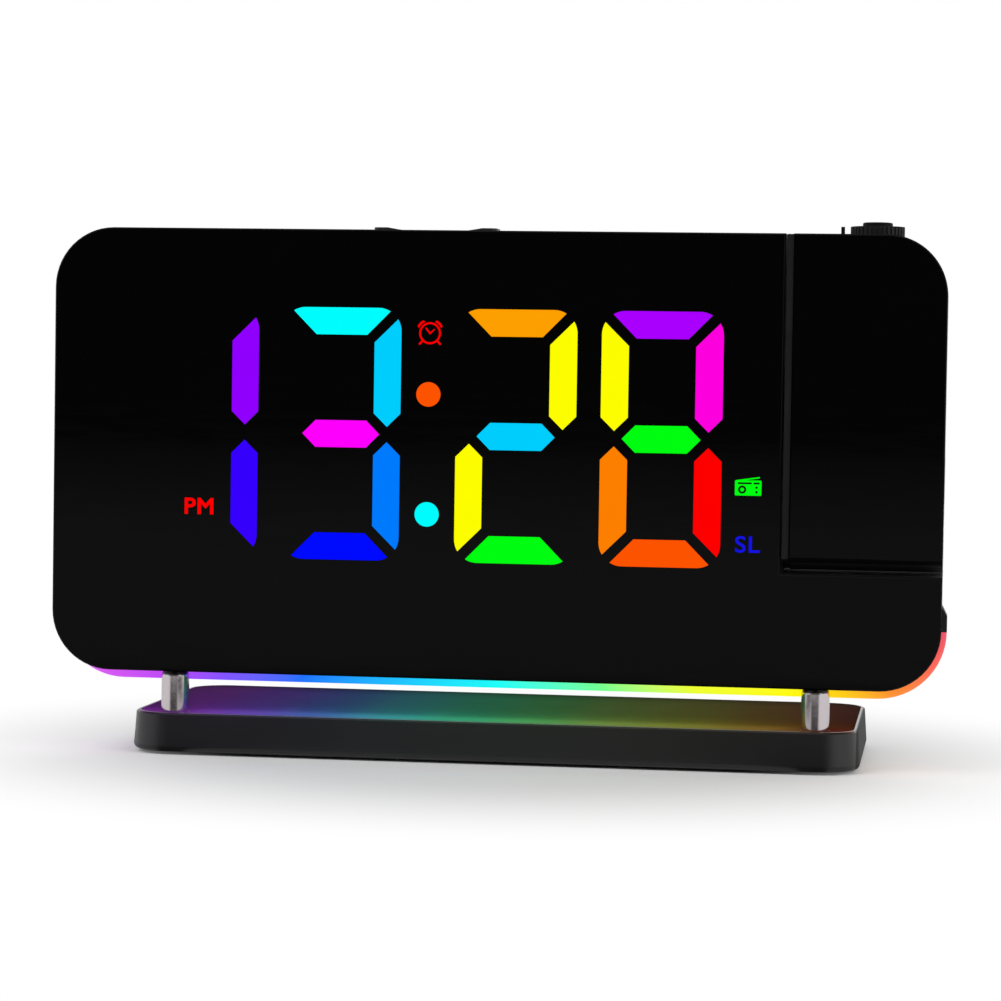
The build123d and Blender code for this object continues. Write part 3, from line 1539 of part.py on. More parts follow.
projector_stem_y = projector_switch_y - switch_well + key_travel + key_gap
projector_flange_y = inner_back_y - key_gap - key_flange

with BuildPart() as projector_key:
    with BuildSketch(across(projector_flange_y)):
        with Locations(projector_key_spot):
            Circle(projector_key_radius)
    extrude(amount=projector_flange_y - back_y - projector_key_proud)
    fillet(projector_key.faces().sort_by(Axis.Y)[-1].edges(), key_edge_round)
    with BuildSketch(across(projector_flange_y)):
        with Locations(projector_key_spot):
            Circle(projector_flange_radius)
    extrude(amount=-key_flange)
    with BuildSketch(across(projector_stem_y)):
        with Locations(projector_key_spot):
            Circle(plunger_radius)
    extrude(amount=projector_stem_y - projector_flange_y)
finish(projector_key.part, "projector_key")
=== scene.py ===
"""Looks of the projection alarm clock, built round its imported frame. Metres, X right, Y back, Z up."""

import json
from math import cos, radians, sin

import bmesh
import bpy
from mathutils import Matrix, Vector


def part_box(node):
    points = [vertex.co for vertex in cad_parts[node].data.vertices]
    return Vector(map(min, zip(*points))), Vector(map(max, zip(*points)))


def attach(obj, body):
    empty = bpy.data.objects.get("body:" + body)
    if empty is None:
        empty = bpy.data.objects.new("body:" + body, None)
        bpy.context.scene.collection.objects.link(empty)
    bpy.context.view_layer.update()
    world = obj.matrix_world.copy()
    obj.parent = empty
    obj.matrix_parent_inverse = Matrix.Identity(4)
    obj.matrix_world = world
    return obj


MM = 0.001

# ------------------------------------------------------------------ sizes
# Points this close are one point or lie on one level, and edges that bend less than this are straight
WELD = 1e-7
SAME_LEVEL = 1e-6
STRAIGHT = radians(0.5)

# Camera
CAMERA_PLACE = Vector((97.85, -708.04, 82.02)) * MM
CAMERA_YAW = radians(-8.059)
CAMERA_PITCH = radians(2.171)
CAMERA_ROLL = radians(0.893)
CAMERA_LENS = 116.27
CAMERA_SENSOR = 36.0
CAMERA_NEAR = 0.01

# Lit faces and printed symbols: how far each stands above its surface, and how deep it is set in
LIT_PROUD = 0.03 * MM
PRINT_PROUD = 0.02 * MM
SET_IN = 0.03 * MM

# Display: how much wider a lit face is than its diffuser, and what tells segments from round dots
DIFFUSER_FIT = 0.1 * MM
SEGMENT_AREA = 80 * MM * MM
DOT_SIZE = 5.5 * MM
DOT_ROUNDNESS = 0.05 * MM

# Lit symbols and words on the window, in mm: a symbol's middle, a word's low and high corners
ALARM_SYMBOL_PLACE = (-13.34, 91.23)
ALARM_SYMBOL_SCALE = 0.96
RADIO_SYMBOL_PLACE = (54.43, 59.86)
PM_WORD_BOX = ((-66.0, 51.9), (-59.7, 55.4))
PM_WORD_WEIGHT = 0.024
SLEEP_WORD_BOX = ((51.9, 46.3), (57.1, 49.8))
SLEEP_WORD_WEIGHT = 0.012
LETTER_SPACING = 1.08

# Alarm symbol, from the middle of its dial, in mm and degrees: left bell and foot, then right
DIAL_RADIUS = 2.42
DIAL_LINE = 0.42
BELL_INNER = 2.7
BELL_OUTER = 3.2
BELL_SPREADS = ((113, 156), (24, 67))
BELL_TAPER = 5
FOOT_REACH = 3.45
FOOT_ANGLES = (226, 314)

# Symbols printed on the keys
ALARM_PRINT_SCALE = 0.6
BEAM_PRINT_SCALE = 0.9

# Tongues and contacts in the ports
TONGUE_SET_BACK = 1.0 * MM
SLEEVE_WALL = 0.06 * MM
SLEEVE_DEPTH = 5.0 * MM
CONTACT_SET_BACK = 0.4 * MM
OUTLET_TONGUE = (11.0 * MM, 1.9 * MM)
OUTLET_TONGUE_RISE = 1.1 * MM
OUTLET_CONTACTS = 4
OUTLET_PITCH = 2.4 * MM
OUTLET_CONTACT = Vector((1.1, 4.0, 0.12)) * MM
INLET_TONGUE = (6.7 * MM, 0.7 * MM)
INLET_CONTACTS = 12
INLET_PITCH = 0.5 * MM
INLET_CONTACT = Vector((0.26, 4.0, 0.06)) * MM

# Gap round the projector arm
ARM_GAP = 1.7 * MM
GAP_EDGE = 0.05 * MM
NOTCH_FLOOR = 42.0 * MM
UNDERSIDE_TOP = 45.4 * MM

# Lip on the arm that closes the sight line through the gap, a dark piece standing in for the shade there;
# its arcs and the hinge are in mm
LIP_WIDTH = 1.4 * MM
LIP_ROOT = 0.15 * MM
LIP_SET_BACK = 0.6 * MM
LIP_DEPTH = 3.4 * MM
LIP_TOP_INSET = 0.1 * MM
LIP_ARC = (33.2, 36.0)
LIP_ARC_STEPS = 16
HINGE_Y = -18.9
HINGE_Z = 78.6

# Base: the skin on its top, and its flat ends, which are matt from this far out
SKIN_PROUD = 0.02 * MM
SKIN_INSET = 0.5 * MM
SKIN_CORNER = 8.0 * MM
POST_CLEARANCE = 0.1 * MM
BASE_FLAT_ENDS = (77.3 * MM, 77.9 * MM)
BASE_END_ROUGHNESS = 0.85

# Studio lamps: place, width and watts, all turned towards one point
LAMP_AIM = Vector((0, 0, 0.06))
STUDIO_LAMPS = {
    "key_lamp": ((-0.8, -0.9, 1.1), 0.9, 9.0),
    "fill_lamp": ((1.1, -0.6, 0.7), 0.9, 6.0),
    "back_lamp": ((0.2, 1.2, 0.9), 1.0, 8.0),
}

# Coloured lamps over the base, in rows: a row's place back and depth in mm, and watts for each lamp
STRIP_LAMPS = 10
STRIP_LAMP_WIDTH = 18.0 * MM
STRIP_LAMP_RISE = 8.0 * MM
TOP_LAMP_ROWS = [(-25, 18, 0.042), (6, 46, 0.020)]
FRONT_LAMP_ROWS = [(-33, 6, 0.0032)]

# Floor: where it fades to the backdrop, and the painted dark reflection that only glossy rays see on it, in
# two fans in front of the posts
FLOOR_SIZE = 6.0
FLOOR_COLOUR = 0.88
FLOOR_FADE = (0.06, 0.15)
DARK_FAN_REACH = (0.17, 0.22)
DARK_FAN_SPREAD = (0.35, 0.8)
DARK_FAN_LEVEL = 0.06
NEAREST_FORWARD = 1e-4

# Backdrop: its fill light, and the dark room in front that gloss sees, by the heading's Y and its level
FILL_LEVEL = 0.45
DARK_ROOM = (-0.9, -0.5)
DARK_ROOM_LEVEL = 0.1

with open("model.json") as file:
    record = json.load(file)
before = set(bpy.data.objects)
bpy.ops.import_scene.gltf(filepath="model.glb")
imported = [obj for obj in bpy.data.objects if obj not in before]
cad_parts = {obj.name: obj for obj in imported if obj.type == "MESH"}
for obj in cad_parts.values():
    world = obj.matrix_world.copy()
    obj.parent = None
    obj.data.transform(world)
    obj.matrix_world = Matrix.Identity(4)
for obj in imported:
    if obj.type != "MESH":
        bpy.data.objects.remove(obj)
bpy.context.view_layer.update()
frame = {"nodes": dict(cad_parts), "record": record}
nodes = frame["nodes"]

# ------------------------------------------------------------------ colours
PALETTE = {
    "red": (255, 0, 0),
    "vermilion": (255, 84, 0),
    "tangerine": (255, 128, 0),
    "orange": (255, 160, 0),
    "yellow": (255, 255, 0),
    "green": (0, 255, 17),
    "cyan": (0, 255, 255),
    "sky": (0, 207, 255),
    "azure": (0, 123, 255),
    "blue": (0, 10, 255),
    "deep_blue": (20, 20, 228),
    "indigo": (54, 0, 255),
    "violet": (145, 0, 255),
    "purple": (170, 0, 255),
    "magenta": (255, 0, 255),
    "pink": (255, 0, 224),
}

# The segments lit to read 13:28, and the colon's upper and lower dots
LIT_SEGMENTS = {
    "hours_tens": {"b": "violet", "c": "indigo"},
    "hours_ones": {"a": "cyan", "b": "sky", "g": "magenta", "c": "azure", "d": "blue"},
    "minutes_tens": {"a": "orange", "b": "yellow", "g": "sky", "e": "yellow", "d": "green"},
    "minutes_ones": {"a": "purple", "b": "pink", "c": "red", "d": "vermilion", "e": "tangerine",
                     "f": "yellow", "g": "green"},
}
COLON_COLOURS = ("vermilion", "cyan")

# The light strip's rainbow: distance from its middle in mm, and colour; the ramp ends at the reach
RAINBOW = [
    (-96, (228, 90, 236)),
    (-74, (190, 70, 245)),
    (-60, (128, 80, 255)),
    (-43, (16, 110, 255)),
    (-22, (10, 190, 255)),
    (2, (0, 255, 245)),
    (24, (110, 255, 140)),
    (44, (236, 255, 40)),
    (64, (255, 250, 0)),
    (76, (255, 200, 0)),
    (86, (250, 140, 30)),
    (100, (250, 100, 80)),
    (112, (230, 70, 100)),
]
RAINBOW_REACH = 120.0

# The tint it throws on the base, softened by the distance
BASE_GLOW = [
    (-72, (205, 70, 235)),
    (-62, (190, 80, 255)),
    (-43, (95, 122, 255)),
    (-21, (86, 240, 220)),
    (1, (75, 244, 128)),
    (22, (166, 208, 90)),
    (44, (182, 178, 60)),
    (63, (182, 114, 44)),
    (76, (150, 15, 34)),
]


def linear(rgb):
    """Display colour, 0 to 255, as the linear colour a shader takes."""
    def channel(value):
        share = value / 255
        return share / 12.92 if share <= 0.04045 else ((share + 0.055) / 1.055) ** 2.4
    return tuple(channel(value) for value in rgb)


def tint_at(stops, distance):
    """The colour between two of the stops, at a distance along them in mm."""
    for (low, before), (high, after) in zip(stops, stops[1:]):
        if distance <= high:
            share = min(max((distance - low) / (high - low), 0), 1)
            return linear([a + (b - a) * share for a, b in zip(before, after)])
    return linear(stops[-1][1])


# ------------------------------------------------------------------ finishes
# The span in which most of a noise lies
NOISE_SPAN = (0.3, 0.7)


def feed(tree, socket, value):
    """Link a node's output into a socket, or set the socket to a plain value."""
    if isinstance(value, bpy.types.NodeSocket):
        tree.links.new(value, socket)
    else:
        socket.default_value = value


class Finish:
    """One material being built: a Principled shader, and calls that wire detail into it."""

    def __init__(self, name, colour, roughness, **plain):
        self.material = bpy.data.materials.new(name)
        self.material.use_nodes = True
        self.tree = self.material.node_tree
        self.shader = self.tree.nodes["Principled BSDF"]
        self.shader.inputs["Base Color"].default_value = (*colour, 1)
        self.shader.inputs["Roughness"].default_value = roughness
        for socket, value in plain.items():
            self.shader.inputs[socket.replace("_", " ")].default_value = value
        self.colour = colour
        self.roughness = roughness
        self.place = self.add("ShaderNodeTexCoord").outputs["Object"]

    def add(self, kind, inputs=(), **settings):
        """A node with its settings; each input is a plain value or another node's output."""
        node = self.tree.nodes.new(kind)
        for name, value in settings.items():
            setattr(node, name, value)
        for socket, value in dict(inputs).items():
            feed(self.tree, node.inputs[socket], value)
        return node

    def into(self, socket, value):
        """Wire a node's output into the shader."""
        self.tree.links.new(value, self.shader.inputs[socket])

    def maths(self, operation, first, second=0.0):
        return self.add("ShaderNodeMath", {0: first, 1: second}, operation=operation).outputs[0]

    def within(self, value, low, high):
        """1 where a value lies between two limits, else 0."""
        above = self.maths("GREATER_THAN", value, low)
        return self.maths("MULTIPLY", above, self.maths("LESS_THAN", value, high))

    def axis(self, name):
        """Object coordinate along X, Y or Z, in metres."""
        return self.add("ShaderNodeSeparateXYZ", {0: self.place}).outputs[name]

    def noise(self, size_mm, stretch=(1, 1, 1), detail=3.0):
        """Soft cloudy noise with features of a size, drawn out along the axes by stretch."""
        scale = [1 / (size_mm * MM * s) for s in stretch]
        mapped = self.add("ShaderNodeMapping", {"Vector": self.place, "Scale": scale})
        return self.add("ShaderNodeTexNoise",
                        {"Vector": mapped.outputs[0], "Scale": 1.0, "Detail": detail}).outputs[0]

    def cell_edges(self, size_mm):
        """Distance to the edges of a pattern of cells of a size."""
        scale = [1 / (size_mm * MM)] * 3
        mapped = self.add("ShaderNodeMapping", {"Vector": self.place, "Scale": scale})
        return self.add("ShaderNodeTexVoronoi", {"Vector": mapped.outputs[0], "Scale": 1.0},
                        feature="DISTANCE_TO_EDGE").outputs["Distance"]

    def between(self, factor, low, high, into=(0.0, 1.0)):
        """Factor mapped smoothly from low..high onto the span given by into."""
        span = {"Value": factor, "From Min": low, "From Max": high, "To Min": into[0], "To Max": into[1]}
        return self.add("ShaderNodeMapRange", span, interpolation_type="SMOOTHSTEP").outputs[0]

    def drift(self, noise, low, high):
        """Noise mapped onto the span from low to high."""
        return self.between(noise, *NOISE_SPAN, (low, high))

    def blend(self, factor, first, second):
        """Colour mixed from first to second by factor."""
        inputs = {0: factor, 6: (*first, 1), 7: (*second, 1)}
        return self.add("ShaderNodeMix", inputs, data_type="RGBA").outputs[2]

    def mottle(self, factor, share):
        """Base colour drifting darker and lighter by a share."""
        darker = [c * (1 - share) for c in self.colour]
        lighter = [min(c * (1 + share), 1) for c in self.colour]
        self.into("Base Color", self.blend(factor, darker, lighter))

    def polish(self, noise, spread):
        """Roughness drifting either side of its value."""
        self.into("Roughness", self.drift(noise, self.roughness - spread, self.roughness + spread))

    def emboss(self, height, depth_mm):
        """Relief of a depth from a 0 to 1 height."""
        bump = self.add("ShaderNodeBump", {"Height": height, "Distance": depth_mm * MM, "Strength": 1.0})
        self.into("Normal", bump.outputs[0])


def moulded(name, colour, roughness, grain_mm=0.35, grain_depth=0.004, specular=0.5):
    """Injection-moulded plastic: fine spark-eroded grain, and slow changes of polish."""
    finish = Finish(name, colour, roughness, Specular_IOR_Level=specular)
    finish.mottle(finish.noise(9.0), 0.1)
    finish.polish(finish.noise(6.0, detail=2.0), 0.08 * roughness)
    if grain_depth:
        finish.emboss(finish.noise(grain_mm, detail=4.0), grain_depth)
    return finish


def matt_in_gap(finish, polish):
    """Roughness that turns fully matt on the walls of the gap round the arm."""
    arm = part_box("arm_window")
    across, up = finish.axis("X"), finish.axis("Z")
    behind_front = finish.maths("GREATER_THAN", finish.axis("Y"), arm[0].y + GAP_EDGE)
    above_floor = finish.maths("GREATER_THAN", up, NOTCH_FLOOR - GAP_EDGE)
    beside_arm = finish.within(across, arm[0].x - ARM_GAP - GAP_EDGE, arm[0].x + GAP_EDGE)
    side_walls = finish.maths("MULTIPLY", above_floor, beside_arm)
    floor_rise = finish.within(up, NOTCH_FLOOR - GAP_EDGE, UNDERSIDE_TOP)
    under_arm = finish.within(across, arm[0].x - ARM_GAP, arm[1].x - GAP_EDGE)
    floor_walls = finish.maths("MULTIPLY", floor_rise, under_arm)
    walls = finish.maths("MAXIMUM", side_walls, floor_walls)
    in_gap = finish.maths("MULTIPLY", walls, behind_front)
    finish.into("Roughness", finish.maths("MAXIMUM", polish, in_gap))


def glossy_shell(name, colour):
    """Polished black plastic with hairlines from wiping, and a matt gap round the arm."""
    finish = Finish(name, colour, 0.16, Specular_IOR_Level=0.3)
    finish.mottle(finish.noise(20.0), 0.15)
    hairlines = finish.noise(0.8, stretch=(14, 1, 1), detail=4.0)
    matt_in_gap(finish, finish.drift(hairlines, 0.145, 0.175))
    finish.emboss(finish.noise(6.0), 0.002)
    return finish


def brushed(name, colour, roughness, along=(12, 1, 1)):
    """Metal with fine brushed lines drawn out along one axis."""
    finish = Finish(name, colour, roughness, Metallic=1.0)
    lines = finish.noise(0.35, stretch=along, detail=5.0)
    finish.mottle(lines, 0.12)
    finish.polish(lines, 0.4 * roughness)
    finish.emboss(lines, 0.002)
    return finish


def plated(name, colour, roughness, peel=0.0008):
    """Bright plated metal, with a little orange peel and faint tarnish."""
    finish = Finish(name, colour, roughness, Metallic=1.0)
    finish.mottle(finish.noise(2.5), 0.05)
    finish.polish(finish.noise(1.2), 0.2 * roughness)
    if peel:
        finish.emboss(finish.noise(0.9), peel)
    return finish


def solder_mask(name, colour):
    """Circuit board: green mask over square-cut copper tracks."""
    finish = Finish(name, colour, 0.35, Specular_IOR_Level=0.5)
    copper = finish.between(finish.cell_edges(2.4), 0.10, 0.14, (1.0, 0.0))
    lighter = tuple(min(c * 2.2 + 0.01, 1) for c in colour)
    finish.into("Base Color", finish.blend(copper, colour, lighter))
    finish.emboss(copper, 0.03)
    finish.polish(finish.noise(3.0), 0.08)
    return finish


def rubber(name, colour):
    """Dull rubber with a coarse skin."""
    finish = Finish(name, colour, 0.85, Specular_IOR_Level=0.3)
    finish.mottle(finish.noise(1.5), 0.3)
    finish.polish(finish.noise(0.7), 0.1)
    finish.emboss(finish.noise(0.25, detail=4.0), 0.02)
    return finish


def pressed_paper(name, colour):
    """Speaker cone paper, its fibres seen."""
    finish = Finish(name, colour, 0.9, Specular_IOR_Level=0.2)
    fibres = finish.noise(0.5, stretch=(1, 1, 5), detail=5.0)
    finish.mottle(fibres, 0.4)
    finish.polish(fibres, 0.08)
    finish.emboss(fibres, 0.03)
    return finish


def frosted(name, colour, roughness):
    """Milky plastic."""
    finish = Finish(name, colour, roughness, Specular_IOR_Level=0.4, Subsurface_Weight=0.2,
                    Subsurface_Radius=(0.002, 0.002, 0.002))
    finish.mottle(finish.noise(3.0), 0.03)
    finish.polish(finish.noise(1.0), 0.06)
    finish.emboss(finish.noise(0.3), 0.003)
    return finish


def clear_glass(name, tint):
    """Optical glass with a trace of coating colour."""
    finish = Finish(name, tint, 0.03, Transmission_Weight=1.0, IOR=1.5)
    finish.mottle(finish.noise(4.0), 0.04)
    finish.polish(finish.noise(2.0), 0.01)
    return finish


def smoked_window(name):
    """Near-black acrylic: almost no mirror seen square on, and a trace of wiping marks."""
    finish = Finish(name, (0.0008, 0.0008, 0.0008), 0.06, Specular_IOR_Level=0.07)
    finish.mottle(finish.noise(30.0), 0.3)
    hairlines = finish.noise(1.2, stretch=(10, 1, 1), detail=4.0)
    matt_in_gap(finish, finish.drift(hairlines, 0.03, 0.09))
    return finish


def base_plastic(name):
    """Satin black moulding of the base, its flat ends matt."""
    finish = Finish(name, (0.007, 0.007, 0.0075), 0.3, Specular_IOR_Level=0.44)
    finish.mottle(finish.noise(12.0), 0.1)
    outward = finish.maths("ABSOLUTE", finish.axis("X"))
    flat_ends = finish.between(outward, *BASE_FLAT_ENDS, (0.0, BASE_END_ROUGHNESS))
    cloud = finish.drift(finish.noise(5.0), 0.28, 0.32)
    finish.into("Roughness", finish.maths("MAXIMUM", cloud, flat_ends))
    finish.emboss(finish.noise(0.3, detail=4.0), 0.002)
    return finish


def base_skin_plastic(name):
    """Satin black skin that takes the strip's coloured light."""
    finish = Finish(name, (0.015, 0.015, 0.016), 0.5, Specular_IOR_Level=0.0)
    finish.mottle(finish.noise(10.0), 0.12)
    finish.polish(finish.noise(3.0), 0.08)
    finish.emboss(finish.noise(0.5), 0.002)
    return finish


def glowing(name, colour):
    """A lit face: an even glow, a touch weaker in slow clouds."""
    finish = Finish(name, (0.0, 0.0, 0.0), 0.4, Specular_IOR_Level=0.0, Emission_Strength=1.0,
                    Emission_Color=(*colour, 1))
    dimmer = tuple(0.96 * c for c in colour)
    finish.into("Emission Color", finish.blend(finish.noise(6.0), dimmer, colour))
    return finish


def rainbow_strip(name):
    """The lit diffuser: a rainbow along its length, running on up both lower corners."""
    finish = Finish(name, (0.02, 0.02, 0.02), 0.3, Specular_IOR_Level=0.3, Emission_Strength=1.0)
    across_mm = finish.maths("DIVIDE", finish.axis("X"), MM)
    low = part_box("light_strip")[0].z / MM
    rise_mm = finish.maths("SUBTRACT", finish.maths("DIVIDE", finish.axis("Z"), MM), low)
    outward_mm = finish.maths("MULTIPLY", rise_mm, finish.maths("SIGN", across_mm))
    along = finish.maths("ADD", across_mm, outward_mm)
    share = finish.maths("ADD", finish.maths("DIVIDE", along, 2 * RAINBOW_REACH), 0.5)
    ramp = finish.add("ShaderNodeValToRGB", {"Fac": share})
    stops = ramp.color_ramp.elements
    while len(stops) < len(RAINBOW):
        stops.new(0.5)
    for stop, (distance, colour) in zip(stops, RAINBOW):
        stop.position = distance / (2 * RAINBOW_REACH) + 0.5
        stop.color = (*linear(colour), 1)
    finish.into("Emission Color", ramp.outputs["Color"])
    finish.emboss(finish.noise(0.6), 0.003)
    finish.polish(finish.noise(2.0), 0.05)
    return finish


# One finish for each material slot of the solids
FINISHES = {
    "base_gloss": base_plastic("base_satin_black"),
    "shell_black": glossy_shell("shell_polished_black", (0.006, 0.006, 0.0065)),
    "black_matt": moulded("cover_matt_black", (0.009, 0.009, 0.009), 0.5, specular=0.3),
    "smoked_acrylic": smoked_window("window_smoked_acrylic"),
    "mask_film": moulded("mask_printed_film", (0.01, 0.01, 0.01), 0.7, grain_depth=0.0, specular=0.2),
    "reflector_white": moulded("reflector_white", (0.82, 0.82, 0.8), 0.5),
    "diffuser_white": frosted("diffuser_milky", (0.85, 0.85, 0.85), 0.45),
    "strip_diffuser": rainbow_strip("strip_rainbow_glow"),
    "led_white": frosted("lamp_phosphor", (0.86, 0.8, 0.45), 0.3),
    "circuit_board": solder_mask("board_green_mask", (0.012, 0.12, 0.05)),
    "chip_black": moulded("chip_epoxy", (0.015, 0.015, 0.015), 0.55, grain_depth=0.006),
    "steel_plate": brushed("zinc_plated_steel", (0.5, 0.5, 0.51), 0.35),
    "screw_steel": plated("screw_blackened_steel", (0.12, 0.12, 0.125), 0.35),
    "spring_steel": brushed("spring_steel", (0.42, 0.42, 0.43), 0.3, along=(1, 12, 1)),
    "post_chrome": plated("post_satin_chrome", (0.64, 0.58, 0.6), 0.13, peel=0.0),
    "foot_rubber": rubber("foot_rubber", (0.02, 0.02, 0.02)),
    "speaker_steel": moulded("speaker_painted_steel", (0.03, 0.03, 0.03), 0.45),
    "speaker_paper": pressed_paper("speaker_pressed_paper", (0.03, 0.03, 0.03)),
    "cell_steel": brushed("cell_nickel_steel", (0.66, 0.65, 0.62), 0.25),
    "contact_brass": plated("contact_plated_brass", (0.8, 0.62, 0.3), 0.25),
    "port_metal": brushed("port_nickel_shell", (0.58, 0.58, 0.57), 0.3, along=(1, 1, 10)),
    "bush_brass": brushed("bush_turned_brass", (0.72, 0.55, 0.26), 0.3, along=(1, 8, 8)),
    "washer_nylon": moulded("washer_natural_nylon", (0.72, 0.72, 0.66), 0.5),
    "heatsink_alu": brushed("heatsink_extruded_aluminium", (0.78, 0.78, 0.79), 0.35, along=(1, 12, 1)),
    "clear_lens": clear_glass("lens_coated_glass", (0.93, 0.95, 0.98)),
    "key_black": moulded("key_satin_black", (0.014, 0.014, 0.014), 0.42, grain_depth=0.005, specular=0.4),
    "switch_black": moulded("switch_housing", (0.02, 0.02, 0.02), 0.5),
    "barrel_black": moulded("barrel_matt_black", (0.003, 0.003, 0.003), 0.6, grain_mm=0.2, specular=0.1),
    "ring_black": moulded("ring_satin_black", (0.007, 0.007, 0.007), 0.5, grain_mm=0.2, specular=0.2),
}
for part in frame["record"]["subparts"]:
    mesh = nodes[part["node"]].data
    mesh.materials.clear()
    mesh.materials.append(FINISHES[part["material_slot"]].material)

# Finishes of the pieces that are added here
GLOWS = {name: glowing("glow_" + name, linear(rgb)).material for name, rgb in PALETTE.items()}
PRINT = moulded("print_light_grey", (0.55, 0.55, 0.56), 0.5, grain_depth=0.0).material
# Matt black of the lip, a dark piece that stands in for the shade in the gap round the arm
GAP_SHADE_LIP = moulded("gap_shade_lip_black", (0.008, 0.008, 0.008), 0.8, grain_depth=0.0, specular=0.2).material
SKIN = base_skin_plastic("base_top_satin").material
SLEEVE = moulded("sleeve_black_nylon", (0.012, 0.012, 0.012), 0.45, grain_depth=0.0).material

# ------------------------------------------------------------------ flat shapes
# Turns that carry a flat drawing onto a face of the clock: the front, the back, and the arm's left side
FACING_FRONT = Matrix(((1, 0, 0), (0, 0, -1), (0, 1, 0))).to_4x4()
FACING_BACK = Matrix(((-1, 0, 0), (0, 0, 1), (0, 1, 0))).to_4x4()
FACING_BODY = Matrix(((0, 0, -1), (-1, 0, 0), (0, 1, 0))).to_4x4()


def new_object(name, data):
    """An object in the scene, at the origin."""
    made = bpy.data.objects.new(name, data)
    bpy.context.scene.collection.objects.link(made)
    return made


def mesh_of(curve):
    """A flat filled curve or text as a plain mesh."""
    holder = new_object("outline", curve)
    depsgraph = bpy.context.evaluated_depsgraph_get()
    mesh = bpy.data.meshes.new_from_object(holder.evaluated_get(depsgraph))
    bpy.data.objects.remove(holder)
    return mesh


def filled(outlines):
    """Flat mesh of closed outlines, given as lists of (x, y); one inside another is a hole."""
    curve = bpy.data.curves.new("outline", "CURVE")
    curve.dimensions = "2D"
    curve.fill_mode = "BOTH"
    for points in outlines:
        spline = curve.splines.new("POLY")
        spline.points.add(len(points) - 1)
        for point, (x, y) in zip(spline.points, points):
            point.co = (x, y, 0, 1)
        spline.use_cyclic_u = True
    return mesh_of(curve)


def inlay(name, parts, place, proud, body, set_in=SET_IN):
    """A thin plate on a surface at place: flat meshes, each with its material, made into closed shells."""
    shape = bmesh.new()
    mesh = bpy.data.meshes.new(name)
    for flat, material in parts:
        if material.name not in mesh.materials:
            mesh.materials.append(material)
        before = set(shape.faces)
        shape.from_mesh(flat)
        for face in shape.faces:
            if face not in before:
                face.material_index = mesh.materials.find(material.name)
    bmesh.ops.remove_doubles(shape, verts=shape.verts, dist=WELD)
    bmesh.ops.dissolve_limit(shape, angle_limit=STRAIGHT, verts=shape.verts, edges=shape.edges,
                             delimit={"MATERIAL"})
    for face in shape.faces:
        if face.normal.z < 0:
            face.normal_flip()
    for vertex in shape.verts:
        vertex.co.z = -set_in
    raised = bmesh.ops.extrude_face_region(shape, geom=shape.faces[:], use_keep_orig=True)
    for vertex in (v for v in raised["geom"] if isinstance(v, bmesh.types.BMVert)):
        vertex.co.z = proud
    bmesh.ops.recalc_face_normals(shape, faces=shape.faces)
    bmesh.ops.triangulate(shape, faces=shape.faces)
    shape.transform(place)
    shape.to_mesh(mesh)
    shape.free()
    piece = new_object(name, mesh)
    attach(piece, body)
    return piece


def arc(radius, start, end, steps=24, centre=(0, 0)):
    """Points of an arc, its angles in degrees."""
    angles = [radians(start + (end - start) * i / steps) for i in range(steps + 1)]
    return [(centre[0] + radius * cos(angle), centre[1] + radius * sin(angle)) for angle in angles]


def circle(radius, centre=(0, 0), steps=48):
    return arc(radius, 0, 360, steps, centre)[:-1]


def bar(start, end, width):
    """A straight stroke from start to end."""
    run = (Vector(end) - Vector(start)).normalized()
    side = Vector((-run.y, run.x)) * width / 2
    corners = ((start, side), (start, -side), (end, -side), (end, side))
    return [tuple(Vector(point) + offset) for point, offset in corners]


def oblong(x, y, width, height, corner=0.0, steps=6):
    """A rectangle round a middle, with rounded corners."""
    if corner == 0:
        signs = ((-1, -1), (1, -1), (1, 1), (-1, 1))
        return [(x + sx * width / 2, y + sy * height / 2) for sx, sy in signs]
    points = []
    for sx, sy, start in ((1, 1, 0), (-1, 1, 90), (-1, -1, 180), (1, -1, 270)):
        middle = (x + sx * (width / 2 - corner), y + sy * (height / 2 - corner))
        points += arc(corner, start, start + 90, steps, middle)
    return points


def placed(outlines, x=0.0, y=0.0, scale=1.0):
    """Outlines drawn in mm, scaled, moved to x, y in mm, and turned into metres."""
    return [[((x + scale * px) * MM, (y + scale * py) * MM) for px, py in points] for points in outlines]


# Each symbol is a list of shapes, and each shape a list of outlines in mm
def alarm_clock_symbol():
    """A bell clock in line: dial, two bells and two feet, and hands."""
    shapes = [[circle(DIAL_RADIUS), circle(DIAL_RADIUS - DIAL_LINE)]]
    for (low, high), foot in zip(BELL_SPREADS, FOOT_ANGLES):
        shapes.append([arc(BELL_OUTER, low + BELL_TAPER, high - BELL_TAPER) + arc(BELL_INNER, high, low)])
        angle = radians(foot)
        start, end = DIAL_RADIUS - DIAL_LINE / 3, FOOT_REACH
        shapes.append([bar((start * cos(angle), start * sin(angle)),
                           (end * cos(angle), end * sin(angle)), DIAL_LINE)])
    shapes.append([[(-1.05, 1.15), (-0.85, 0.75), (0.0, -0.3), (0.95, 0.65), (1.1, 0.85), (0.9, 0.95),
                    (0.0, 0.2), (-0.75, 1.2)]])
    return shapes


def radio_symbol():
    """A small receiver: body with dial, scale slots and knobs, and an aerial."""
    body = [oblong(0, 0, 5.55, 3.2, 0.25), oblong(-0.72, 0.98, 2.9, 0.36), oblong(1.75, 0.98, 1.25, 0.36),
            circle(0.85, (-1.25, -0.35)), circle(0.42, (-1.25, -0.35)),
            circle(0.25, (1.75, 0.1), 16), circle(0.25, (1.75, -0.85), 16)]
    aerial = [[(-2.6, 1.62), (2.35, 2.35), (2.4, 2.05), (-0.5, 1.62)]]
    return [body, aerial]


def plain_clock_symbol():
    """A ring with two hands."""
    return [[circle(1.7), circle(1.35)], [bar((0, -0.1), (0, 1.05), 0.3)],
            [bar((0.15, 0.05), (0.85, 0.05), 0.3)]]


def minus_symbol():
    return [[oblong(0, 0, 3.0, 0.4)]]


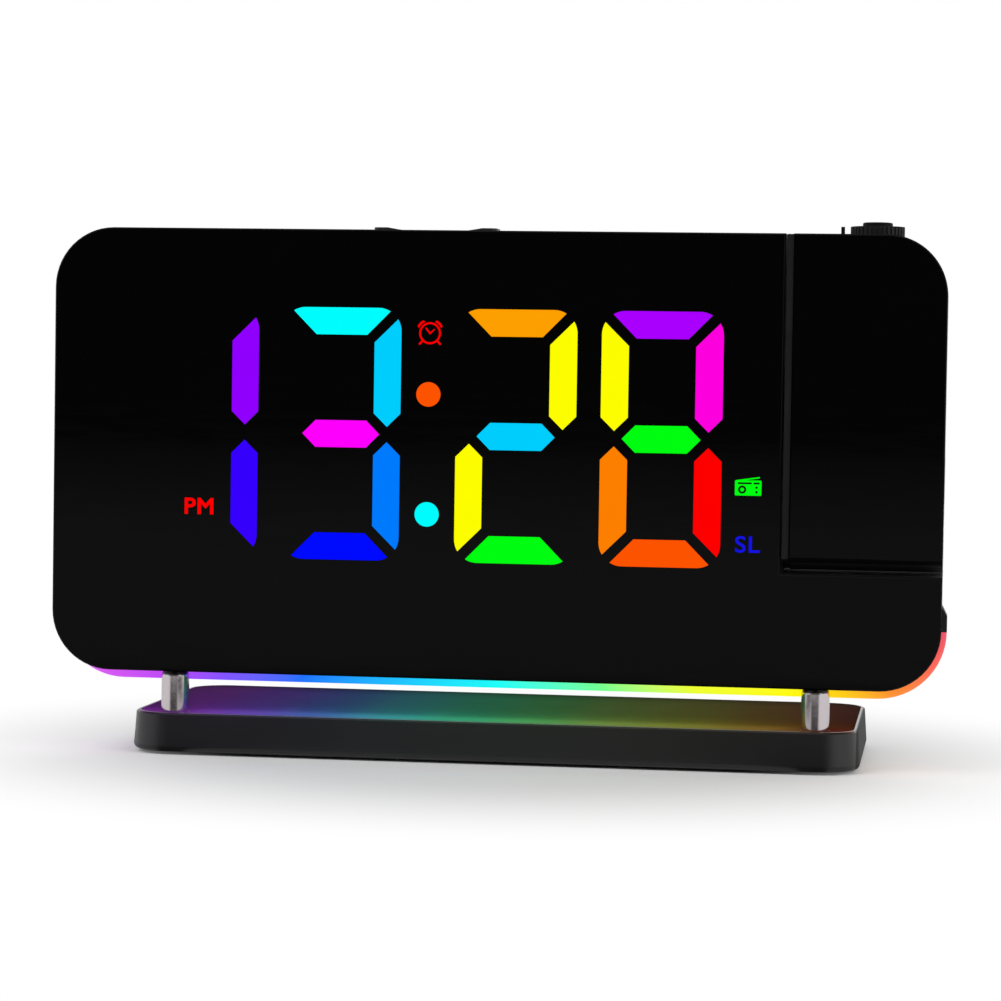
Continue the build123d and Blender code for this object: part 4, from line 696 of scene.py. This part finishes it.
def plus_symbol():
    return [[[(-1.5, -0.2), (-0.2, -0.2), (-0.2, -1.5), (0.2, -1.5), (0.2, -0.2), (1.5, -0.2), (1.5, 0.2),
              (0.2, 0.2), (0.2, 1.5), (-0.2, 1.5), (-0.2, 0.2), (-1.5, 0.2)]]]


def beam_symbol():
    """Rays spreading from a small lens."""
    return [[oblong(0, -1.1, 1.0, 0.7, 0.15)], [bar((0, -0.4), (0, 1.3), 0.28)],
            [bar((-0.35, -0.4), (-1.1, 1.1), 0.28)], [bar((0.35, -0.4), (1.1, 1.1), 0.28)]]


# ------------------------------------------------------------------ lip that closes the gap beside the arm: a dark piece standing in for the shade in the gap
def on_arc(radius, y):
    """Height of an arc about the hinge, at a depth; both in mm."""
    return HINGE_Z - (radius * radius - (y - HINGE_Y) ** 2) ** 0.5


arm_low, arm_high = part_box("arm_window")
lip_front = (arm_low.y + LIP_SET_BACK) / MM
lip_inner = lip_front + LIP_DEPTH / MM
lip_back = 2 * HINGE_Y - lip_front
lip_top = (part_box("arm_front_shell")[1].z - LIP_TOP_INSET) / MM
shares = [i / LIP_ARC_STEPS for i in range(LIP_ARC_STEPS + 1)]
outer_ys = [lip_front + t * (lip_back - lip_front) for t in shares]
inner_ys = [lip_back + t * (lip_inner - lip_back) for t in shares]
lip = [(lip_inner, lip_top), (lip_front, lip_top)]
lip += [(y, on_arc(LIP_ARC[1], y)) for y in outer_ys]
lip += [(y, on_arc(LIP_ARC[0], y)) for y in inner_ys]
# The lip is a dark piece put in the gap to stand in for its shade
inlay("arm_gap_shade_lip", [(filled([[(-y * MM, z * MM) for y, z in lip]]), GAP_SHADE_LIP)],
      Matrix.Translation((arm_low.x, 0, 0)) @ FACING_BODY, LIP_WIDTH, "arm", LIP_ROOT)

# ------------------------------------------------------------------ lit display
# Outlines of the diffusers' front faces, each with its middle and size
window_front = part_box("front_window")[0].y
diffusers = bmesh.new()
diffusers.from_mesh(nodes["segment_diffusers"].data)
bmesh.ops.remove_doubles(diffusers, verts=diffusers.verts, dist=SAME_LEVEL)
front_y = min(vertex.co.y for vertex in diffusers.verts)
hidden = [face for face in diffusers.faces if max(v.co.y for v in face.verts) > front_y + SAME_LEVEL]
bmesh.ops.delete(diffusers, geom=hidden, context="FACES")
bmesh.ops.dissolve_faces(diffusers, faces=diffusers.faces[:])
outlines = []
for face in diffusers.faces:
    points = [(vertex.co.x, vertex.co.z) for vertex in face.verts]
    xs, zs = zip(*points)
    middle = ((min(xs) + max(xs)) / 2, (min(zs) + max(zs)) / 2)
    size = (max(xs) - min(xs), max(zs) - min(zs))
    grown = [tuple(m + (p - m) * (s + DIFFUSER_FIT) / s for p, m, s in zip(point, middle, size))
             for point in points]
    outlines.append((middle, size, grown))
diffusers.free()

# Segments are the large shapes, seven to each digit from the left; dots are as wide as they are high
segments = sorted((o for o in outlines if o[1][0] * o[1][1] > SEGMENT_AREA), key=lambda o: o[0][0])
colon = sorted((o for o in outlines if abs(o[1][0] - o[1][1]) < DOT_ROUNDNESS and o[1][0] < DOT_SIZE),
               key=lambda o: -o[0][1])
digits = [segments[7 * i:7 * i + 7] for i in range(4)]
panel = Matrix.Translation((0, window_front, 0)) @ FACING_FRONT


def segment_letter(middle, digit):
    """Which of the seven segments, a to g, has this middle."""
    across = [m[0] for m, _, _ in digit]
    up = [m[1] for m, _, _ in digit]
    x = (middle[0] - min(across)) / (max(across) - min(across))
    z = (middle[1] - min(up)) / (max(up) - min(up))
    if 0.3 < x < 0.7:
        return "d" if z < 0.2 else "a" if z > 0.8 else "g"
    return ("e" if z < 0.5 else "f") if x < 0.5 else ("c" if z < 0.5 else "b")


def lit(name, parts):
    """Lit flat meshes on the window."""
    inlay(name, parts, panel, LIT_PROUD, "root")


def lettering(name, words, box, colour, weight):
    """A short lit word that fills a box, given by its low and high corners in mm."""
    text = bpy.data.curves.new(name, "FONT")
    text.body = words
    text.offset = weight
    text.space_character = LETTER_SPACING
    text.resolution_u = 6
    flat = mesh_of(text)
    for axis, low, high in zip((0, 1), *box):
        reach = [vertex.co[axis] for vertex in flat.vertices]
        start, length = min(reach), max(reach) - min(reach)
        for vertex in flat.vertices:
            vertex.co[axis] = (low + (vertex.co[axis] - start) / length * (high - low)) * MM
    lit(name, [(flat, GLOWS[colour])])


for digit, (name, lit_letters) in zip(digits, LIT_SEGMENTS.items()):
    faces = {segment_letter(middle, digit): grown for middle, _, grown in digit}
    lit("lit_" + name, [(filled([faces[letter]]), GLOWS[colour]) for letter, colour in lit_letters.items()])
lit("lit_colon", [(filled([dot[2]]), GLOWS[colour]) for dot, colour in zip(colon, COLON_COLOURS)])
lit("lit_alarm_symbol", [(filled(placed(shape, *ALARM_SYMBOL_PLACE, ALARM_SYMBOL_SCALE)), GLOWS["red"])
                         for shape in alarm_clock_symbol()])
lit("lit_radio_symbol", [(filled(placed(shape, *RADIO_SYMBOL_PLACE)), GLOWS["green"])
                         for shape in radio_symbol()])
lettering("lit_pm_word", "PM", PM_WORD_BOX, "red", PM_WORD_WEIGHT)
lettering("lit_sleep_word", "SL", SLEEP_WORD_BOX, "deep_blue", SLEEP_WORD_WEIGHT)


# ------------------------------------------------------------------ printed key symbols
def on_top(node):
    """Place on the middle of a node's top face."""
    low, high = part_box(node)
    return Matrix.Translation(((low.x + high.x) / 2, (low.y + high.y) / 2, high.z))


def on_back(node):
    """Place on the middle of a node's back face."""
    low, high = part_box(node)
    middle = Matrix.Translation(((low.x + high.x) / 2, high.y, (low.z + high.z) / 2))
    return middle @ FACING_BACK


def printed(key, symbol, place, scale=1.0):
    """A symbol printed on a key, moving with it."""
    parts = [(filled(placed(shape, scale=scale)), PRINT) for shape in symbol]
    inlay(key + "_print", parts, place, PRINT_PROUD, key)


printed("clock_key", plain_clock_symbol(), on_top("clock_key"))
printed("alarm_key", alarm_clock_symbol(), on_top("alarm_key"), ALARM_PRINT_SCALE)
printed("minus_key", minus_symbol(), on_top("minus_key"))
printed("plus_key", plus_symbol(), on_top("plus_key"))
printed("projector_key", beam_symbol(), on_back("projector_key"), BEAM_PRINT_SCALE)

# ------------------------------------------------------------------ base top skin
base_low, base_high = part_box("base_shell")
base_top = base_high.z
top_corners = [v.co for v in nodes["base_shell"].data.vertices if v.co.z > base_top - SAME_LEVEL]
half_width = max(co.x for co in top_corners) - SKIN_INSET
half_depth = max(co.y for co in top_corners) - SKIN_INSET
skin_middle = ((base_low.x + base_high.x) / 2, (base_low.y + base_high.y) / 2)
post_low, post_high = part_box("support_posts")
post_radius = (post_high.y - post_low.y) / 2
post_y = (post_low.y + post_high.y) / 2
posts = [(x, post_y) for x in (post_low.x + post_radius, post_high.x - post_radius)]
skin_outlines = [oblong(*skin_middle, 2 * half_width, 2 * half_depth, SKIN_CORNER, 16)]
skin_outlines += [circle(post_radius + POST_CLEARANCE, post) for post in posts]
base_skin = inlay("base_top_skin", [(filled(skin_outlines), SKIN)], Matrix.Translation((0, 0, base_top)),
                  SKIN_PROUD, "root")


# ------------------------------------------------------------------ contacts in the ports
def contact_row_tree():
    """Geometry nodes that lay out a row of flat contacts along X."""
    tree = bpy.data.node_groups.new("contact_row", "GeometryNodeTree")
    sockets = {}
    for name, kind in (("Count", "NodeSocketInt"), ("Pitch", "NodeSocketFloat"),
                       ("Contact", "NodeSocketVector"), ("Finish", "NodeSocketMaterial")):
        sockets[name] = tree.interface.new_socket(name, in_out="INPUT", socket_type=kind).identifier
    tree.interface.new_socket("Geometry", in_out="OUTPUT", socket_type="NodeSocketGeometry")
    given = tree.nodes.new("NodeGroupInput")
    out = tree.nodes.new("NodeGroupOutput")
    line = tree.nodes.new("GeometryNodeMeshLine")
    gap = tree.nodes.new("ShaderNodeCombineXYZ")
    contact = tree.nodes.new("GeometryNodeMeshCube")
    row = tree.nodes.new("GeometryNodeInstanceOnPoints")
    solid = tree.nodes.new("GeometryNodeRealizeInstances")
    painted = tree.nodes.new("GeometryNodeSetMaterial")
    join = tree.links.new
    join(given.outputs["Pitch"], gap.inputs["X"])
    join(given.outputs["Count"], line.inputs["Count"])
    join(gap.outputs[0], line.inputs["Offset"])
    join(given.outputs["Contact"], contact.inputs["Size"])
    join(line.outputs["Mesh"], row.inputs["Points"])
    join(contact.outputs["Mesh"], row.inputs["Instance"])
    join(row.outputs["Instances"], solid.inputs["Geometry"])
    join(solid.outputs["Geometry"], painted.inputs["Geometry"])
    join(given.outputs["Finish"], painted.inputs["Material"])
    join(painted.outputs["Geometry"], out.inputs["Geometry"])
    return tree, sockets


CONTACT_ROW, CONTACT_SOCKETS = contact_row_tree()


def contact_row(name, count, pitch, contact, middle):
    """A row of contacts, its middle at a place."""
    carrier = new_object(name, bpy.data.meshes.new(name + "_carrier"))
    grower = carrier.modifiers.new("contact_row", "NODES")
    grower.node_group = CONTACT_ROW
    values = {"Count": count, "Pitch": pitch, "Contact": contact,
              "Finish": FINISHES["contact_brass"].material}
    for key, value in values.items():
        grower[CONTACT_SOCKETS[key]] = value
    depsgraph = bpy.context.evaluated_depsgraph_get()
    mesh = bpy.data.meshes.new_from_object(carrier.evaluated_get(depsgraph))
    carrier.modifiers.remove(grower)
    mesh.transform(Matrix.Translation(Vector(middle) - Vector(((count - 1) * pitch / 2, 0, 0))))
    carrier.data = mesh
    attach(carrier, "root")


def tongue_sleeve(name, size, middle):
    """Dark moulding over the tongue of a port: a closed box, its middle at a place."""
    shape = bmesh.new()
    bmesh.ops.create_cube(shape, size=1.0)
    shape.transform(Matrix.Translation(middle) @ Matrix.Diagonal((*size, 1)))
    mesh = bpy.data.meshes.new(name)
    shape.to_mesh(mesh)
    shape.free()
    mesh.materials.append(SLEEVE)
    sleeve = new_object(name, mesh)
    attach(sleeve, "root")


def fill_port(port, node, tongue, rise, side, count, pitch, contact):
    """Sleeve and contacts of a port's tongue, which lies at a rise from the port's middle.

    The contacts are on the tongue's top where side is 1, and under it where side is -1.
    """
    low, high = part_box(node)
    middle = (low + high) / 2
    size = Vector((tongue[0] + 2 * SLEEVE_WALL, SLEEVE_DEPTH, tongue[1] + 2 * SLEEVE_WALL))
    tongue_end = high.y - TONGUE_SET_BACK + SLEEVE_WALL
    sleeve_middle = Vector((middle.x, tongue_end - SLEEVE_DEPTH / 2, middle.z + rise))
    tongue_sleeve(port + "_tongue_sleeve", size, sleeve_middle)
    back = SLEEVE_DEPTH / 2 - contact.y / 2 - CONTACT_SET_BACK
    contact_row(port + "_contacts", count, pitch, contact,
                sleeve_middle + Vector((0, back, side * size.z / 2)))


fill_port("outlet", "usb_outlet", OUTLET_TONGUE, OUTLET_TONGUE_RISE, -1,
          OUTLET_CONTACTS, OUTLET_PITCH, OUTLET_CONTACT)
fill_port("inlet", "power_inlet", INLET_TONGUE, 0.0, 1, INLET_CONTACTS, INLET_PITCH, INLET_CONTACT)

# ------------------------------------------------------------------ studio
scene = bpy.context.scene
scene.view_settings.view_transform = "Standard"


def soft_lamp(name, place, width, depth, power):
    """A soft oblong lamp that shines down."""
    light = bpy.data.lights.new(name, "AREA")
    light.shape = "RECTANGLE"
    light.size, light.size_y = width, depth
    light.energy = power
    lamp = new_object(name, light)
    lamp.location = place
    return lamp


for name, (place, width, power) in STUDIO_LAMPS.items():
    lamp = soft_lamp(name, place, width, width, power)
    lamp.rotation_euler = (LAMP_AIM - Vector(place)).to_track_quat("-Z", "Y").to_euler()

# The strip's light on the base: rows of coloured lamps, each lighting one piece alone
lamp_reach = (base_high.x - base_low.x) / 2 / MM
for lit_piece, rows in ((base_skin, TOP_LAMP_ROWS), (nodes["base_shell"], FRONT_LAMP_ROWS)):
    lit_alone = bpy.data.collections.new("lit_" + lit_piece.name)
    lit_alone.objects.link(lit_piece)
    for y_mm, depth_mm, power in rows:
        for i in range(STRIP_LAMPS):
            x_mm = lamp_reach * (2 * (i + 0.5) / STRIP_LAMPS - 1)
            place = (x_mm * MM, y_mm * MM, base_top + STRIP_LAMP_RISE)
            lamp = soft_lamp("strip_lamp", place, STRIP_LAMP_WIDTH, depth_mm * MM, power)
            lamp.data.color = tint_at(BASE_GLOW, x_mm)
            lamp.visible_camera = False
            lamp.visible_glossy = False
            lamp.light_linking.receiver_collection = lit_alone

# Floor: it keeps the shadow near the clock, and fades to the white backdrop where it is seen directly
floor_mesh = bpy.data.meshes.new("floor")
half = FLOOR_SIZE / 2
floor_corners = [(-half, -half, 0), (half, -half, 0), (half, half, 0), (-half, half, 0)]
floor_mesh.from_pydata(floor_corners, [], [(0, 1, 2, 3)])
floor = new_object("floor", floor_mesh)
ground = Finish("floor_pale", (FLOOR_COLOUR,) * 3, 0.9, Specular_IOR_Level=0.0)
ground.mottle(ground.noise(60.0), 0.01)
distance = ground.add("ShaderNodeVectorMath", {0: ground.place}, operation="LENGTH").outputs["Value"]
far = ground.between(distance, *FLOOR_FADE)
path = ground.add("ShaderNodeLightPath")
seen = ground.maths("MAXIMUM", path.outputs["Is Camera Ray"], path.outputs["Is Transmission Ray"])
white = ground.add("ShaderNodeEmission", {"Color": (1, 1, 1, 1), "Strength": 1.0})
faded = ground.add("ShaderNodeMixShader", {0: ground.maths("MULTIPLY", far, seen),
                                           1: ground.shader.outputs[0], 2: white.outputs[0]})
# Painted dark reflection: for glossy rays alone the floor turns dark, in a fan spreading forward from each
# post
across = ground.maths("SUBTRACT", ground.maths("ABSOLUTE", ground.axis("X")), posts[1][0])
forward = ground.maths("MAXIMUM", ground.maths("SUBTRACT", post_y, ground.axis("Y")), NEAREST_FORWARD)
spread = ground.maths("ABSOLUTE", ground.maths("DIVIDE", across, forward))
painted_dark_fan = ground.maths("MULTIPLY", ground.between(forward, *DARK_FAN_REACH, (1.0, 0.0)),
                    ground.between(spread, *DARK_FAN_SPREAD, (1.0, 0.0)))
painted_dark_fan = ground.maths("MULTIPLY", painted_dark_fan, path.outputs["Is Glossy Ray"])
reflected_dark = ground.add("ShaderNodeEmission", {"Color": (1, 1, 1, 1), "Strength": DARK_FAN_LEVEL})
floor_and_dark_fans = ground.add("ShaderNodeMixShader", {0: painted_dark_fan, 1: faded.outputs[0], 2: reflected_dark.outputs[0]})
ground.tree.links.new(floor_and_dark_fans.outputs[0], ground.tree.nodes["Material Output"].inputs["Surface"])
floor_mesh.materials.append(ground.material)

# Backdrop: white where it is seen directly, a dim fill light, and a dark room in front for gloss
world = bpy.data.worlds.new("studio")
scene.world = world
world.use_nodes = True
sky = world.node_tree
backdrop = sky.nodes["Background"]
backdrop.inputs["Color"].default_value = (1, 1, 1, 1)
heading = sky.nodes.new("ShaderNodeSeparateXYZ")
sky.links.new(sky.nodes.new("ShaderNodeTexCoord").outputs["Generated"], heading.inputs[0])
room = sky.nodes.new("ShaderNodeMapRange")
room.interpolation_type = "SMOOTHSTEP"
for socket, value in (("Value", heading.outputs["Y"]), ("From Min", DARK_ROOM[0]),
                      ("From Max", DARK_ROOM[1]), ("To Min", DARK_ROOM_LEVEL), ("To Max", 1.0)):
    feed(sky, room.inputs[socket], value)
rays = sky.nodes.new("ShaderNodeLightPath")
level = FILL_LEVEL
for ray, ray_level in (("Is Glossy Ray", room.outputs[0]), ("Is Camera Ray", 1.0),
                       ("Is Transmission Ray", 1.0)):
    mix = sky.nodes.new("ShaderNodeMix")
    for socket, value in ((0, rays.outputs[ray]), (2, level), (3, ray_level)):
        feed(sky, mix.inputs[socket], value)
    level = mix.outputs[0]
sky.links.new(level, backdrop.inputs["Strength"])

# ------------------------------------------------------------------ camera
ahead = Vector((sin(CAMERA_YAW) * cos(CAMERA_PITCH), cos(CAMERA_YAW) * cos(CAMERA_PITCH),
                -sin(CAMERA_PITCH)))
level_right = Vector((cos(CAMERA_YAW), -sin(CAMERA_YAW), 0))
level_up = level_right.cross(ahead)
right = level_right * cos(CAMERA_ROLL) + level_up * sin(CAMERA_ROLL)
up = level_up * cos(CAMERA_ROLL) - level_right * sin(CAMERA_ROLL)
lens = bpy.data.cameras.new("camera")
lens.sensor_width = CAMERA_SENSOR
lens.lens = CAMERA_LENS
lens.clip_start = CAMERA_NEAR
camera = new_object("camera", lens)
camera.matrix_world = Matrix.Translation(CAMERA_PLACE) @ Matrix((right, up, -ahead)).transposed().to_4x4()
scene.camera = camera
